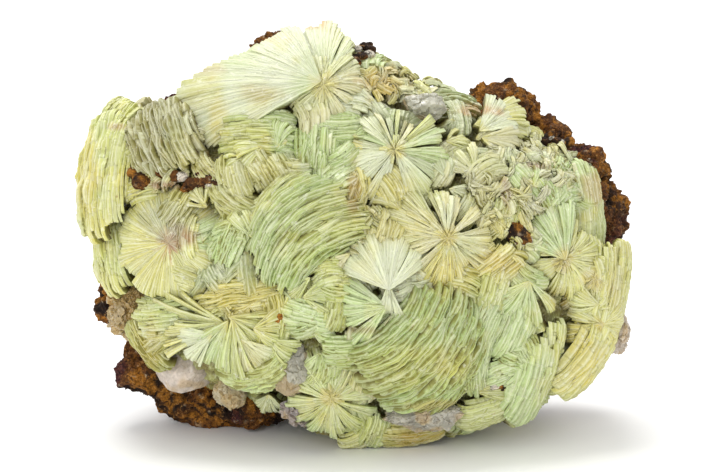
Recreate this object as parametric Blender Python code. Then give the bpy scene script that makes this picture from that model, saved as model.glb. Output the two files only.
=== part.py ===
"""Prehnite specimen standing on its own base: fused sheaves of plates, rusty rock behind, quartz grains.

Lengths in the tables are millimetres, read in the view plane of a viewer who looks 12 degrees down:
across (to the right), up, and out (towards the viewer). The mesh itself is in metres, +Z up.
"""
import math
import random

import bmesh
import bpy
from mathutils import Vector

# Driving sizes, millimetres and degrees
MM = 0.001
VIEW_DOWN_DEG = 12.0
BODY_MIDDLE_UP = 54.0
BODY_MIDDLE_OUT = -24.0
BODY_BULGE = 31.0
BODY_HALF_WIDTH = 70.0
BODY_HALF_HEIGHT = 55.0
RIM_RISE = 0.2
CORE_SHRINK = 0.93
SLAB_SHRINK = 0.93
ORIGIN_ACROSS = 0.7
ORIGIN_DEPTH = 34.0
GROUND_LEVEL = -0.6
GAP = 0.4
FOOT_CUT_SIZE = 400.0
FACES_KEPT = 0.8
SEED = 7

# Shape of one sheaf: share of the radius
BOOK_SINK = 0.45
BOOK_FULLNESS = 0.7
GROOVE_STAR = 0.16
GROOVE_BOOK = 0.12
GROOVE_SINK = 0.45
GROOVE_PLACE = (0.4, 0.6)
RIDGE_WOBBLE = 0.07
HIDDEN_SHARE = 0.3
HIDDEN_STEPS = (0.2, 0.5, 0.8)
BOOK_ROWS_DEG = (42.0, 90.0, 138.0)
ROSETTE_ROWS_DEG = (42.0, 88.0)
ROSETTE_TIP = 0.78
PETAL_GROOVE_LIMIT = 0.8
ROOT_DEPTH = 5.0

# Ring of sheaves round the side, out of the viewer's sight
SIDE_OUT = -23.0
SIDE_SHRINK = 0.90
SIDE_RADIUS = 8.0
SIDE_LENGTH = 11.0
SIDE_COUNT = 14


def star(name, at, radius, ridges=10, thick=0.4, cut=GROOVE_STAR, proud=0.0):
    """Round rosette whose plates meet in a line that points at the viewer."""
    return dict(name=name, kind="star", at=at, radius=radius, length=radius * thick, angle=0.0,
                spread=180.0, ridges=ridges, cut=cut, proud=proud)


def fan(name, at, radius, angle=0.0, spread=45.0, ridges=6, thick=0.3, cut=GROOVE_STAR, proud=0.0):
    """Part of a rosette that opens towards one side, half its opening given by spread."""
    return dict(name=name, kind="fan", at=at, radius=radius, length=radius * thick, angle=angle,
                spread=spread, ridges=ridges, cut=cut, proud=proud)


def book(name, at, radius, length=10.0, angle=0.0, ridges=8, cut=GROOVE_BOOK, proud=0.0):
    """Sheaf seen from its side: ridges run from end to end along the given direction."""
    return dict(name=name, kind="book", at=at, radius=radius, length=length, angle=angle,
                spread=180.0, ridges=ridges, cut=cut, proud=proud)


# Every sheaf of plates that can be told apart: place in the view plane, then size
SHEAVES = [
    star("crown", (-7, 93), 10.5, ridges=11, proud=3),
    fan("peak", (-7.5, 91.5), 19, angle=94, spread=15, ridges=3, thick=0.16),
    fan("wing_low", (-5.5, 92), 37.5, angle=188, spread=13, ridges=5, thick=0.13, proud=-3),
    fan("wing_mid", (-6.5, 92), 28, angle=165, spread=11, ridges=5, thick=0.16, proud=-3),
    fan("wing_high", (-7.5, 92), 20, angle=138, spread=14, ridges=5, thick=0.2, proud=-2),
    fan("wing_top", (-7.5, 92), 16.5, angle=116, spread=10, ridges=4, thick=0.2, proud=-1),
    book("ribs", (-23, 80), 6, length=10, angle=-4, ridges=6),
    book("columns", (-7.5, 77.5), 6, length=7, angle=88, ridges=5),
    book("wafers", (-18.5, 71), 4, length=6, angle=-28, ridges=4),
    book("left_bulge", (-61.5, 69.5), 8, length=15.5, angle=97, ridges=6),
    book("left_knob", (-59.5, 85.5), 4, length=5.5, angle=75, ridges=4),
    book("left_foot", (-59, 51.5), 6, length=11, angle=98, ridges=5),
    book("grey_wafers", (-47, 79.5), 8.5, length=10.5, angle=118, ridges=9),
    star("disc", (-45, 54), 15, ridges=13, thick=0.3, proud=2),
    book("disc_back", (-32.5, 65.5), 4, length=7, angle=64, ridges=4),
    book("disc_side", (-30, 55), 5, length=7.5, angle=70, ridges=5),
    book("slant", (-28, 44), 4, length=7, angle=42, ridges=4),
    book("heart", (-13.5, 58), 11, length=15, angle=48, ridges=11),
    book("heart_top", (-6, 68), 4, length=5, angle=80, ridges=4),
    book("heart_edge", (-0.5, 59), 3, length=8, angle=72, ridges=4),
    star("flower", (10.5, 76.5), 13, ridges=8, thick=0.34, cut=0.3, proud=4),
    fan("grey_fan", (22, 56), 15, angle=160, spread=42, ridges=5, thick=0.25, proud=2),
    star("sun", (23.5, 55), 12.5, ridges=10, thick=0.32, proud=3),
    fan("sun_low", (24, 54), 14, angle=272, spread=36, ridges=6, thick=0.3, proud=2),
    fan("sun_side", (23.5, 54.5), 14.5, angle=-26, spread=20, ridges=4, thick=0.22, proud=1),
    fan("white_fan", (9, 43), 14, angle=97, spread=62, ridges=7, thick=0.28, proud=4),
    fan("green_fan", (9, 39), 12, angle=192, spread=50, ridges=6, thick=0.3, proud=3),
    book("great_dome", (18.5, 26.5), 14, length=17, angle=47, ridges=12),
    book("dome_side", (28.5, 27.5), 7, length=12.5, angle=80, ridges=6),
    book("dome_foot", (18.5, 17), 5, length=9.5, angle=28, ridges=5),
    fan("olive_fan", (30.5, 17.5), 8.5, angle=30, spread=45, ridges=4, thick=0.4),
    book("olive_foot", (33, 12), 4.5, length=7, angle=8, ridges=4),
    fan("low_fan", (43.5, 44), 10.5, angle=268, spread=68, ridges=6, thick=0.35, proud=2),
    star("amber_left", (52.5, 50), 9.5, ridges=8, thick=0.35, proud=1),
    star("amber_right", (60, 45), 10, ridges=8, thick=0.35, proud=0),
    fan("mint_fan", (52.5, 49.5), 13, angle=122, spread=42, ridges=5, thick=0.3, proud=2),
    book("mint_lumps", (51, 64), 4, length=5.5, angle=95, ridges=4),
    book("tall", (59, 61.5), 5, length=11.5, angle=84, ridges=4),
    book("right_edge", (63.5, 41.5), 6, length=13.5, angle=84, ridges=5),
    star("jumble_a", (34, 74), 6, ridges=5, thick=0.5),
    star("jumble_b", (42, 70), 7, ridges=5, thick=0.5),
    star("jumble_c", (49, 74.5), 6, ridges=4, thick=0.5),
    star("jumble_d", (37, 61.5), 6, ridges=5, thick=0.5),
    book("jumble_e", (29, 67), 4, length=6, angle=120, ridges=4),
    book("jumble_g", (42, 52), 5.5, length=6.5, angle=70, ridges=4),
    fan("cream_fan", (29.5, 81), 16.5, angle=17, spread=20, ridges=6, thick=0.2, proud=1),
    book("yellow_lumps", (8, 93.5), 5, length=7, angle=150, ridges=4),
    book("pale_lumps", (13.5, 92.5), 5, length=7, angle=-35, ridges=4),
    book("upper_middle", (25, 87.5), 5, length=7, angle=10, ridges=4),
    fan("skirt_left", (-30, 34.5), 20, angle=190, spread=25, ridges=5, thick=0.25),
    fan("skirt_middle", (-30, 35.5), 19, angle=238, spread=24, ridges=6, thick=0.3, proud=1),
    fan("skirt_right", (-29, 35), 18.5, angle=285, spread=26, ridges=6, thick=0.3, proud=1),
    book("skirt_top", (-28, 39), 4, length=10.5, angle=8, ridges=5),
    book("side_left", (-46.5, 35), 6, length=8, angle=75, ridges=4),
    book("side_olive", (-51, 27), 3.5, length=6.5, angle=122, ridges=4),
    fan("small_fan", (-20.5, 15.5), 4.5, angle=270, spread=60, ridges=4, thick=0.5),
    book("barrel", (-11, 36), 3.5, length=6.5, angle=-10, ridges=4),
    star("rosette_low", (-5, 16), 11.5, ridges=9, thick=0.4, proud=2),
    fan("low_blades", (-4, 15.5), 13.5, angle=52, spread=24, ridges=4, thick=0.22, proud=1),
    book("base_lumps", (2, 8.5), 6.5, length=8.5, angle=100, ridges=4),
    book("base_crust", (14.5, 6.5), 4, length=8, angle=2, ridges=4),
    book("bulge", (44, 19), 6, length=12, angle=86, ridges=6),
    book("slats", (49.5, 27), 3, length=8, angle=88, ridges=4),
    book("yellow_slope", (57.5, 25), 7, length=11, angle=56, ridges=6),
    star("amber_low", (61.5, 35), 8, ridges=5, thick=0.5),
]

# Rim of the prehnite in the view plane, from the left side over the top and round
RIM = [
    (-67, 64.5), (-69, 69), (-70, 72.5), (-66.5, 81), (-62.5, 88), (-57, 88),
    (-52, 87), (-46.5, 87.5), (-43, 92), (-38, 95.5), (-28, 101.5), (-22.5, 104),
    (-13.5, 107.5), (-9, 110), (-5, 108.5), (1, 106), (9.5, 101), (18, 96),
    (24.5, 91.5), (32, 87.5), (44.5, 81.5), (53.5, 76.5), (59.5, 71.5), (62.5, 63),
    (65, 55), (68.5, 49.5), (70, 41), (70, 34), (65.5, 27), (60, 20),
    (51, 13), (42, 7), (29.5, 4.5), (22, 2.5), (8.5, 1.5), (0, 0),
    (-6, 3), (-15.5, 8.5), (-26.5, 10.5), (-38, 12.5), (-46.5, 16.5), (-53, 23),
    (-58, 31), (-59.5, 39.5), (-63.5, 47), (-65, 52),
]

# Lumps of the rock: place (across, up, out), half sizes (across, up, out)
ROCK_LUMPS = [
    ((-34.0, 15.5, -37.0), (17.5, 9.3, 12.0)),
    ((-52.0, 22.5, -31.0), (8.5, 6.5, 9.0)),
    ((-24.0, 13.0, -32.0), (11.0, 5.5, 10.0)),
    ((-57.0, 40.0, -29.0), (8.0, 9.0, 9.0)),
    ((-41.0, 88.0, -33.0), (6.0, 4.5, 7.0)),
    ((-33.0, 94.0, -33.0), (8.0, 4.0, 7.0)),
    ((-18.5, 103.5, -35.0), (8.0, 3.5, 6.0)),
    ((38.5, 86.5, -31.0), (10.0, 8.0, 11.0)),
    ((46.5, 79.5, -33.0), (9.0, 7.5, 11.0)),
    ((57.0, 71.5, -33.0), (9.5, 7.5, 11.0)),
    ((63.5, 60.5, -30.0), (6.5, 9.5, 12.0)),
    ((28.0, 15.0, -46.0), (16.0, 11.0, 9.0)),
]
ROCK_ROUGHNESS = 0.16
ROCK_SLAB_OUT = -43.0
ROCK_SLAB_HALF_DEPTH = 14.0
ROCK_SLAB_ROUGHNESS = 1.6
ROCK_SLAB_ROWS = [(0.4, 1.0), (0.94, 0.8), (1.0, 0.0), (0.93, -0.6), (0.66, -0.9), (0.33, -1.0)]
CORE_ROWS = [(0.36, 0.92), (0.68, 0.73), (0.93, 0.36), (1.0, 0.0), (0.93, -0.36), (0.5, -0.85)]
RIM_STEPS = 26
CORE_ROUGHNESS = 0.4

# Quartz grains: name, place (across, up, out), half sizes (across, up, out)
QUARTZ_GRAINS = [
    ("quartz_nodule", (-42.3, 22.4, -18.6), (7.0, 6.0, 6.5)),
    ("quartz_beige", (-30.5, 16.5, -16.5), (4.2, 4.8, 5.0)),
    ("quartz_druse", (-56.5, 37.5, -18.0), (5.5, 8.0, 6.0)),
    ("quartz_pocket", (-14.5, 23.0, -2.5), (5.0, 8.0, 5.0)),
    ("quartz_violet", (-13.5, 11.5, -8.0), (4.2, 3.0, 4.5)),
    ("quartz_lilac", (18.0, 11.0, -5.0), (9.5, 4.2, 5.5)),
    ("quartz_top", (18.5, 87.5, -3.5), (5.5, 3.8, 5.0)),
    ("quartz_right", (66.0, 31.0, -19.0), (4.5, 5.0, 6.0)),
]
QUARTZ_ROUGHNESS = 0.12

PREHNITE_COLOR = (0.62, 0.70, 0.42, 1.0)
ROCK_COLOR = (0.16, 0.09, 0.05, 1.0)
QUARTZ_COLOR = (0.62, 0.58, 0.52, 1.0)

# Directions of the view plane in the world
VIEW_DOWN = math.radians(VIEW_DOWN_DEG)
ACROSS = Vector((1.0, 0.0, 0.0))
UP = Vector((0.0, math.sin(VIEW_DOWN), math.cos(VIEW_DOWN)))
OUT = Vector((0.0, -math.cos(VIEW_DOWN), math.sin(VIEW_DOWN)))


def to_world(across, up, out):
    """World position in millimetres of a place of the view plane: middle of the footprint at zero."""
    place = across * ACROSS + up * UP + out * OUT
    return place - Vector((ORIGIN_ACROSS, ORIGIN_DEPTH, GROUND_LEVEL))


def rim_reach(turn):
    """Distance from the middle of the body to its rim in one direction of the view plane."""
    points = [(math.atan2(up - BODY_MIDDLE_UP, across), math.hypot(across, up - BODY_MIDDLE_UP))
              for across, up in RIM]
    points.sort()
    first_turn, first_reach = points[0]
    last_turn, last_reach = points[-1]
    points.insert(0, (last_turn - 2.0 * math.pi, last_reach))
    points.append((first_turn + 2.0 * math.pi, first_reach))
    for (low_turn, low), (high_turn, high) in zip(points[:-1], points[1:]):
        if low_turn <= turn <= high_turn:
            share = (turn - low_turn) / max(high_turn - low_turn, 1e-9)
            return low + (high - low) * share
    return first_reach


def surface_rise(across, up):
    """Share of the full bulge that the body has at a place of the view plane."""
    reach = rim_reach(math.atan2(up - BODY_MIDDLE_UP, across))
    inside = 1.0 - (math.hypot(across, up - BODY_MIDDLE_UP) / reach) ** 2
    return math.sqrt(max(inside, RIM_RISE ** 2))


def surface_point(across, up, proud):
    """World place on the front of the body, moved out by proud."""
    out = BODY_MIDDLE_OUT + BODY_BULGE * surface_rise(across, up)
    return to_world(across, up, out + proud)


def surface_normal(across, up):
    """Outward direction of the front of the body in the world: that of a smooth round body."""
    rise = surface_rise(across, up)
    normal = ACROSS * (across / BODY_HALF_WIDTH ** 2)
    normal += UP * ((up - BODY_MIDDLE_UP) / BODY_HALF_HEIGHT ** 2)
    normal += OUT * (rise / BODY_BULGE)
    return normal.normalized()


def side_sheaves():
    """Sheaves set evenly round the side of the body, ridges running from front to back."""
    ring = []
    for index in range(SIDE_COUNT):
        turn = 2.0 * math.pi * (index + 0.5) / SIDE_COUNT - math.pi
        reach = rim_reach(turn) * SIDE_SHRINK - SIDE_RADIUS
        at = (reach * math.cos(turn), BODY_MIDDLE_UP + reach * math.sin(turn))
        sheaf = book("side_%d" % index, at, SIDE_RADIUS, length=SIDE_LENGTH, ridges=5)
        sheaf["kind"] = "side"
        ring.append(sheaf)
    return ring


def sheaf_axes(sheaf):
    """Origin, pole and the two directions across the pole of one sheaf."""
    across, up = sheaf["at"]
    if sheaf["kind"] == "side":
        return to_world(across, up, SIDE_OUT), OUT, ACROSS, UP
    normal = surface_normal(across, up)
    turn = math.radians(sheaf["angle"])
    plane_direction = ACROSS * math.cos(turn) + UP * math.sin(turn)
    if sheaf["kind"] == "book":
        pole = (plane_direction - normal * plane_direction.dot(normal)).normalized()
        ahead = normal
        sink = BOOK_SINK * sheaf["radius"]
    else:
        pole = (normal + OUT).normalized()
        ahead = (plane_direction - pole * plane_direction.dot(pole)).normalized()
        sink = 0.0
    origin = surface_point(across, up, sheaf["proud"] - sink)
    return origin, pole, ahead, pole.cross(ahead)


def sheaf_turns(sheaf, rng):
    """Turns about the pole with the share of the radius at each: ridge, groove, ridge and so on."""
    ridges = sheaf["ridges"]
    cut = sheaf["cut"]
    if sheaf["kind"] == "fan":
        cut = min(cut, PETAL_GROOVE_LIMIT / sheaf["radius"])
    turns = []
    if sheaf["spread"] >= 180.0:
        for index in range(ridges):
            ridge_share = 1.0 + rng.uniform(-RIDGE_WOBBLE, RIDGE_WOBBLE)
            turns.append((2.0 * math.pi * index / ridges, ridge_share, 1.0))
            groove_turn = 2.0 * math.pi * (index + rng.uniform(*GROOVE_PLACE)) / ridges
            turns.append((groove_turn, ridge_share * (1.0 - cut), GROOVE_SINK))
        return turns
    spread = math.radians(sheaf["spread"])
    for index in range(ridges):
        ridge_share = 1.0 + rng.uniform(-RIDGE_WOBBLE, RIDGE_WOBBLE)
        turns.append((-spread + 2.0 * spread * index / (ridges - 1), ridge_share, 1.0))
        if index < ridges - 1:
            groove_turn = -spread + 2.0 * spread * (index + 0.5) / (ridges - 1)
            turns.append((groove_turn, ridge_share * (1.0 - cut), GROOVE_SINK))
    for share in HIDDEN_STEPS:
        turns.append((spread + (2.0 * math.pi - 2.0 * spread) * share, HIDDEN_SHARE, 1.0))
    return turns


def add_sheaf(sheaf, rng):
    """Closed ridged solid of one sheaf: rings of points from pole to pole."""
    origin, pole, ahead, side = sheaf_axes(sheaf)
    if sheaf["kind"] in ("book", "side"):
        rows = BOOK_ROWS_DEG
        tip_share = 1.0
        fullness = BOOK_FULLNESS
    else:
        rows = ROSETTE_ROWS_DEG
        tip_share = ROSETTE_TIP
        fullness = 1.0
    turns = sheaf_turns(sheaf, rng)
    mesh = bmesh.new()
    rings = []
    for row in rows:
        tilt = math.radians(row)
        ring = []
        for turn, share, lift in turns:
            reach = sheaf["radius"] * share * math.sin(tilt) ** fullness
            if sheaf["kind"] in ("book", "side"):
                lift = 1.0
            place = origin + pole * (sheaf["length"] * math.cos(tilt) * lift)
            place += (ahead * math.cos(turn) + side * math.sin(turn)) * reach
            ring.append(mesh.verts.new(place * MM))
        rings.append(ring)
    top = mesh.verts.new((origin + pole * sheaf["length"] * tip_share) * MM)
    bottom_depth = sheaf["length"]
    if sheaf["kind"] in ("star", "fan"):
        bottom_depth += ROOT_DEPTH + sheaf["proud"]
    bottom = mesh.verts.new((origin - pole * bottom_depth) * MM)
    count = len(turns)
    for index in range(count):
        after = (index + 1) % count
        mesh.faces.new((top, rings[0][index], rings[0][after]))
        mesh.faces.new((bottom, rings[-1][after], rings[-1][index]))
        for upper, lower in zip(rings[:-1], rings[1:]):
            mesh.faces.new((upper[index], lower[index], lower[after]))
            mesh.faces.new((upper[index], lower[after], upper[after]))
    return add_object("sheaf_" + sheaf["name"], mesh)


def add_lump(name, place, half_sizes, roughness, grow, rng):
    """Closed rough lump: a round body stretched to its half sizes, every corner moved in or out."""
    mesh = bmesh.new()
    bmesh.ops.create_icosphere(mesh, subdivisions=2, radius=1.0)
    centre = to_world(*place)
    for vertex in mesh.verts:
        direction = vertex.co.normalized()
        local = Vector((direction.x * half_sizes[0], direction.z * half_sizes[1],
                        direction.y * half_sizes[2]))
        outward = Vector((direction.x / half_sizes[0], direction.z / half_sizes[1],
                          direction.y / half_sizes[2])).normalized()
        local += outward * (grow + rng.uniform(-roughness, roughness) * min(half_sizes))
        vertex.co = (centre + local.x * ACROSS + local.y * UP - local.z * OUT) * MM
    bmesh.ops.recalc_face_normals(mesh, faces=mesh.faces)
    return add_object(name, mesh)


def add_body(name, shrink, out, half_depth, rows, roughness, grow, rng):
    """Closed drum inside the rim: one ring of points for each row of (share of reach, share of depth)."""
    mesh = bmesh.new()
    rings = []
    for reach_share, depth_share in rows:
        ring = []
        for index in range(RIM_STEPS):
            turn = 2.0 * math.pi * (index + 0.5) / RIM_STEPS - math.pi
            spread = rim_reach(turn) * shrink * reach_share
            outward = Vector((math.cos(turn) * reach_share, math.sin(turn) * reach_share,
                              depth_share)).normalized()
            local = Vector((math.cos(turn) * spread, math.sin(turn) * spread,
                            depth_share * half_depth))
            local += outward * (grow + rng.uniform(-roughness, roughness))
            place = to_world(local.x, BODY_MIDDLE_UP + local.y, out + local.z)
            ring.append(mesh.verts.new(place * MM))
        rings.append(ring)
    front = mesh.verts.new(to_world(0.0, BODY_MIDDLE_UP, out + half_depth + grow) * MM)
    back = mesh.verts.new(to_world(0.0, BODY_MIDDLE_UP, out - half_depth - grow) * MM)
    for index in range(RIM_STEPS):
        after = (index + 1) % RIM_STEPS
        mesh.faces.new((front, rings[0][index], rings[0][after]))
        mesh.faces.new((back, rings[-1][after], rings[-1][index]))
        for upper, lower in zip(rings[:-1], rings[1:]):
            mesh.faces.new((upper[index], lower[index], lower[after]))
            mesh.faces.new((upper[index], lower[after], upper[after]))
    return add_object(name, mesh)


def add_object(name, mesh):
    """Link a mesh to the scene as an object and return it."""
    data = bpy.data.meshes.new(name)
    mesh.to_mesh(data)
    mesh.free()
    obj = bpy.data.objects.new(name, data)
    bpy.context.scene.collection.objects.link(obj)
    return obj


def apply_modifiers(obj):
    """Put the result of the object's modifiers into its mesh."""
    depsgraph = bpy.context.evaluated_depsgraph_get()
    result = bpy.data.meshes.new_from_object(obj.evaluated_get(depsgraph))
    obj.modifiers.clear()
    obj.data = result


def combine(obj, other, operation):
    """Join other to obj, or cut it away from obj, and remove other."""
    modifier = obj.modifiers.new("combine", "BOOLEAN")
    modifier.operation = operation
    modifier.solver = "MANIFOLD"
    modifier.object = other
    other.hide_render = True
    other.display_type = "WIRE"
    apply_modifiers(obj)
    bpy.data.objects.remove(other)


def merge_slivers(obj):
    """Collapse the shortest edges, which the joins leave along every seam, into their neighbours."""
    modifier = obj.modifiers.new("merge_slivers", "DECIMATE")
    modifier.ratio = FACES_KEPT
    modifier.use_collapse_triangulate = True
    apply_modifiers(obj)


def keep_largest_piece(obj):
    """Drop the crumbs that a cut leaves loose."""
    mesh = bmesh.new()
    mesh.from_mesh(obj.data)
    unseen = set(mesh.verts)
    pieces = []
    while unseen:
        start = unseen.pop()
        piece = {start}
        stack = [start]
        while stack:
            vertex = stack.pop()
            for edge in vertex.link_edges:
                other = edge.other_vert(vertex)
                if other in unseen:
                    unseen.remove(other)
                    piece.add(other)
                    stack.append(other)
        pieces.append(piece)
    pieces.sort(key=len, reverse=True)
    for piece in pieces[1:]:
        bmesh.ops.delete(mesh, geom=list(piece), context="VERTS")
    bmesh.ops.triangulate(mesh, faces=mesh.faces)
    mesh.to_mesh(obj.data)
    mesh.free()


def add_floor_cutter():
    """Block below the ground, which leaves flat facets to stand on."""
    mesh = bmesh.new()
    bmesh.ops.create_cube(mesh, size=FOOT_CUT_SIZE * MM)
    bmesh.ops.translate(mesh, verts=mesh.verts, vec=(0.0, 0.0, -0.5 * FOOT_CUT_SIZE * MM))
    return add_object("floor_cutter", mesh)


def build_rock(grow):
    """Rock: a slab across the back with knobs and ledges that look out at the rim."""
    rng = random.Random(SEED)
    rock = add_body("matrix", SLAB_SHRINK, ROCK_SLAB_OUT, ROCK_SLAB_HALF_DEPTH,
                    ROCK_SLAB_ROWS, ROCK_SLAB_ROUGHNESS, grow, rng)
    for place, half_sizes in ROCK_LUMPS:
        combine(rock, add_lump("rock_lump", place, half_sizes, ROCK_ROUGHNESS, grow, rng), "UNION")
    return rock


def build_quartz(index, grow):
    """One quartz grain."""
    name, place, half_sizes = QUARTZ_GRAINS[index]
    rng = random.Random(SEED + 10 + index)
    return add_lump(name, place, half_sizes, QUARTZ_ROUGHNESS, grow, rng)


def build_prehnite():
    """All sheaves joined with the body that they grow from."""
    rng = random.Random(SEED)
    prehnite = add_body("prehnite", CORE_SHRINK, BODY_MIDDLE_OUT, BODY_BULGE * CORE_SHRINK,
                        CORE_ROWS, CORE_ROUGHNESS, 0.0, rng)
    for sheaf in SHEAVES + side_sheaves():
        combine(prehnite, add_sheaf(sheaf, rng), "UNION")
    return prehnite


def add_material(obj, name, color, roughness):
    """Own plain material of one piece."""
    material = bpy.data.materials.new(name)
    material.use_nodes = True
    shader = material.node_tree.nodes["Principled BSDF"]
    shader.inputs["Base Color"].default_value = color
    shader.inputs["Roughness"].default_value = roughness
    obj.data.materials.clear()
    obj.data.materials.append(material)


def main():
    """Build every piece, part them by small gaps and stand them on the ground."""
    for obj in list(bpy.data.objects):
        bpy.data.objects.remove(obj)

    prehnite = build_prehnite()
    combine(prehnite, build_rock(GAP), "DIFFERENCE")
    rock = build_rock(0.0)

    grains = []
    for index in range(len(QUARTZ_GRAINS)):
        combine(prehnite, build_quartz(index, GAP), "DIFFERENCE")
        combine(rock, build_quartz(index, GAP), "DIFFERENCE")
        grains.append(build_quartz(index, 0.0))

    for obj in (prehnite, rock):
        merge_slivers(obj)
        combine(obj, add_floor_cutter(), "DIFFERENCE")
        keep_largest_piece(obj)

    add_material(prehnite, "prehnite", PREHNITE_COLOR, 0.45)
    add_material(rock, "iron_stained_rock", ROCK_COLOR, 0.8)
    for grain in grains:
        add_material(grain, grain.name, QUARTZ_COLOR, 0.3)


main()
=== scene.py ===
"""Looks of the prehnite specimen: plated sheaves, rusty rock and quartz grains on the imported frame.

Tables are in millimetres, read in the view plane of a viewer who looks 12 degrees down:
across (to the right), up, and out (towards the viewer). Meshes are in metres, +Z up.
"""
import math

import bpy
import numpy as np
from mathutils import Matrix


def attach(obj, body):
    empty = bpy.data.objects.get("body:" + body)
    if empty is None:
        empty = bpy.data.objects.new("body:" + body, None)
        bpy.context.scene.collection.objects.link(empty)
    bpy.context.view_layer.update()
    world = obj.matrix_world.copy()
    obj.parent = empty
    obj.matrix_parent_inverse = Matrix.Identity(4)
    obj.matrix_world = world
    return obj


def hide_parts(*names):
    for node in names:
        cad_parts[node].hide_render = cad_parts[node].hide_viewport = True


MM = 0.001
VIEW_DOWN = math.radians(12.0)
ACROSS = np.array([1.0, 0.0, 0.0])
UP = np.array([0.0, math.sin(VIEW_DOWN), math.cos(VIEW_DOWN)])
OUT = np.array([0.0, -math.cos(VIEW_DOWN), math.sin(VIEW_DOWN)])
ORIGIN = np.array([0.7, 34.0, -0.6])

# Body that the sheaves grow from, in millimetres: its middle, its bulge towards the viewer, its half
# sizes, and the shares of it that the core and the slab behind take
MIDDLE_UP = 54.0
MIDDLE_OUT = -24.4
BULGE = 31.0
HALF_WIDTH = 70.0
HALF_HEIGHT = 55.0
LOWEST_RISE = 0.2
CORE_SHRINK = 0.90
CORE_BOXINESS = 0.95
# Depth number of the core's colour: it gives the core most of the painted seam shade
CORE_SHADE_DEPTH = 0.45
SLAB_SHRINK = 0.93
SLAB_BOXINESS = 0.55
SLAB_OUT = -43.0
SLAB_HALF_DEPTH = 14.0
FLOOR_CLEARANCE = 0.0001
RIM = [
    (-67, 64.5), (-69, 69), (-70, 72.5), (-66.5, 81), (-62.5, 88), (-57, 88),
    (-52, 87), (-46.5, 87.5), (-43, 92), (-38, 95.5), (-28, 101.5), (-22.5, 104),
    (-13.5, 107.5), (-9, 110), (-5, 108.5), (1, 106), (9.5, 101), (18, 96),
    (24.5, 91.5), (32, 87.5), (44.5, 81.5), (53.5, 76.5), (59.5, 71.5), (62.5, 63),
    (65, 55), (68.5, 49.5), (70, 41), (70, 34), (65.5, 27), (60, 20),
    (51, 13), (42, 7), (29.5, 4.5), (22, 2.5), (8.5, 1.5), (0, 0),
    (-6, 3), (-15.5, 8.5), (-26.5, 10.5), (-38, 12.5), (-46.5, 16.5), (-53, 23),
    (-58, 31), (-59.5, 39.5), (-63.5, 47), (-65, 52),
]

# Rows and columns of the grids, and of the outline that a drum's rows are spaced along
CORE_GRID = (210, 320)
SLAB_GRID = (210, 400)
LUMP_GRID = (76, 110)
CRUMB_GRID = (12, 18)
QUARTZ_GRID = (60, 90)
OUTLINE_POINTS = 4000
MEAN_REACH = 60.0

# All plates, millimetres: step along them, raggedness of their crests, waves and steps in them
PLATE_STEP = 0.6
SERRATION = 0.12
WAVE = 0.5
EDGE_STEP = 0.08
THINNEST_HALF = 0.05
PLATE_WIDTHS = (0.45, 1.75)
FOOT_SHARE = 0.7
DEEPEST_SHARE = 0.8
# Depth numbers of a plate's shoulders with and without a line of painted shade where it meets the next
OPEN_SEAM_SHADE = 0.5
CLOSED_SEAM_SHADE = 0.3

# Rosettes: heights are shares of the thickness, starts and edges shares of the radius
FEWEST_PLATES = 4
ROSETTE_STEPS = (6, 44)
PETAL_WIDTHS = (0.35, 1.65)
PETAL_ROUNDING = 0.15
WIDEST_WEDGE = 4.0
MIDDLE_HEIGHT = 0.72
RIM_FALL = 0.42
RIM_DROP = 0.22
SUNK_DEPTH = 0.5
FORK_STARTS = (0.0, 0.36, 0.16, 0.36)
HEART_EDGE = (0.06, 0.27)
HEART_SHARE = 0.85
FLOWER_HEART_PROUD = 5.6

# Unevenness of rosettes: of lengths, starts, lift, lean and bend, and of where a crest stands
PETAL_RAGGED = (-0.08, 0.06)
PLATE_RAGGED = 0.03
FORK_SHIFT = (-0.08, 0.16)
PETAL_LIFT = (-0.05, 0.06)
PETAL_LEAN = 0.11
PETAL_BEND = 0.03
CREST_SHIFT = 0.7

# Domes: powers of their squarish outlines, shares of the width, and their wafers in millimetres
DOME_POWER = 2.4
PLAN_POWER = 2.6
DOME_HEIGHT = 0.78
DOME_SINK = 0.20
WAFER_LENGTH = 4.6
WAFER_OVERLAP = 0.03
WAFER_STEPS = (4, 24)
WAFER_SLOPE = 0.05
WAFER_TURN = 0.08
WAFER_TILT = 0.12
PLATE_ENDS = (0.84, 1.06)
CUT_SHIFT = 0.9
END_DROP = 0.25
STEEP_FLANK = 0.26
SLIGHT_FLANK = 0.05

# How many there are; how far out fillers reach; side rows: share of the reach, and out from the
# middle; how far sheaves stay from quartz and rust
FACE_LIMIT = 185000
FILLER_COUNT = 330
FILLER_REACH = 0.95
SIDE_COUNT = 104
SIDE_ROWS = ((0.87, (-2.0, 12.0)), (0.84, (-13.0, -6.0)))
SIDE_TINTS = ("mint", "yellow_green", "pale_yellow", "green")
QUARTZ_MARGIN = 1.5
RUST_MARGIN = 1.0
HEART_NEEDLES = 26
CRUMBS_PER_PATCH = 12
QUARTZ_PLANES = 34
QUARTZ_LIMIT = 1.12
QUARTZ_SEED = 70

# Noise: primes that mix a cell's coordinates, steps from plate to plate, fading of the crags
PRIMES = (73856093, 19349663, 83492791, 2654435761, 1274126177)
ROW_STEP = 7.3
STRAND_STEP = 3.1
CRAG_FADE = 0.62
CRAG_LIFT = 0.3
CRAG_HEIGHT = 4.2

# Light, floor and camera, metres and watts; the picture's middle is a view-plane place
LIT_POINT = (0.0, 0.0, 0.05)
LIGHT_SIZE = 0.50
KEY_LIGHT = ((-0.14, 0.24, 0.95), 7.0)
FILL_LIGHT = ((-0.30, -1.05, 0.45), 3.9)
SURROUNDINGS_STRENGTH = 0.95
FLOOR_HALF = 4.0
LENS = 180.0
SENSOR = 36.0
PICTURE_WIDTH = 0.177
PICTURE_MIDDLE = (0.6, 55.5, -8.0)

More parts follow.
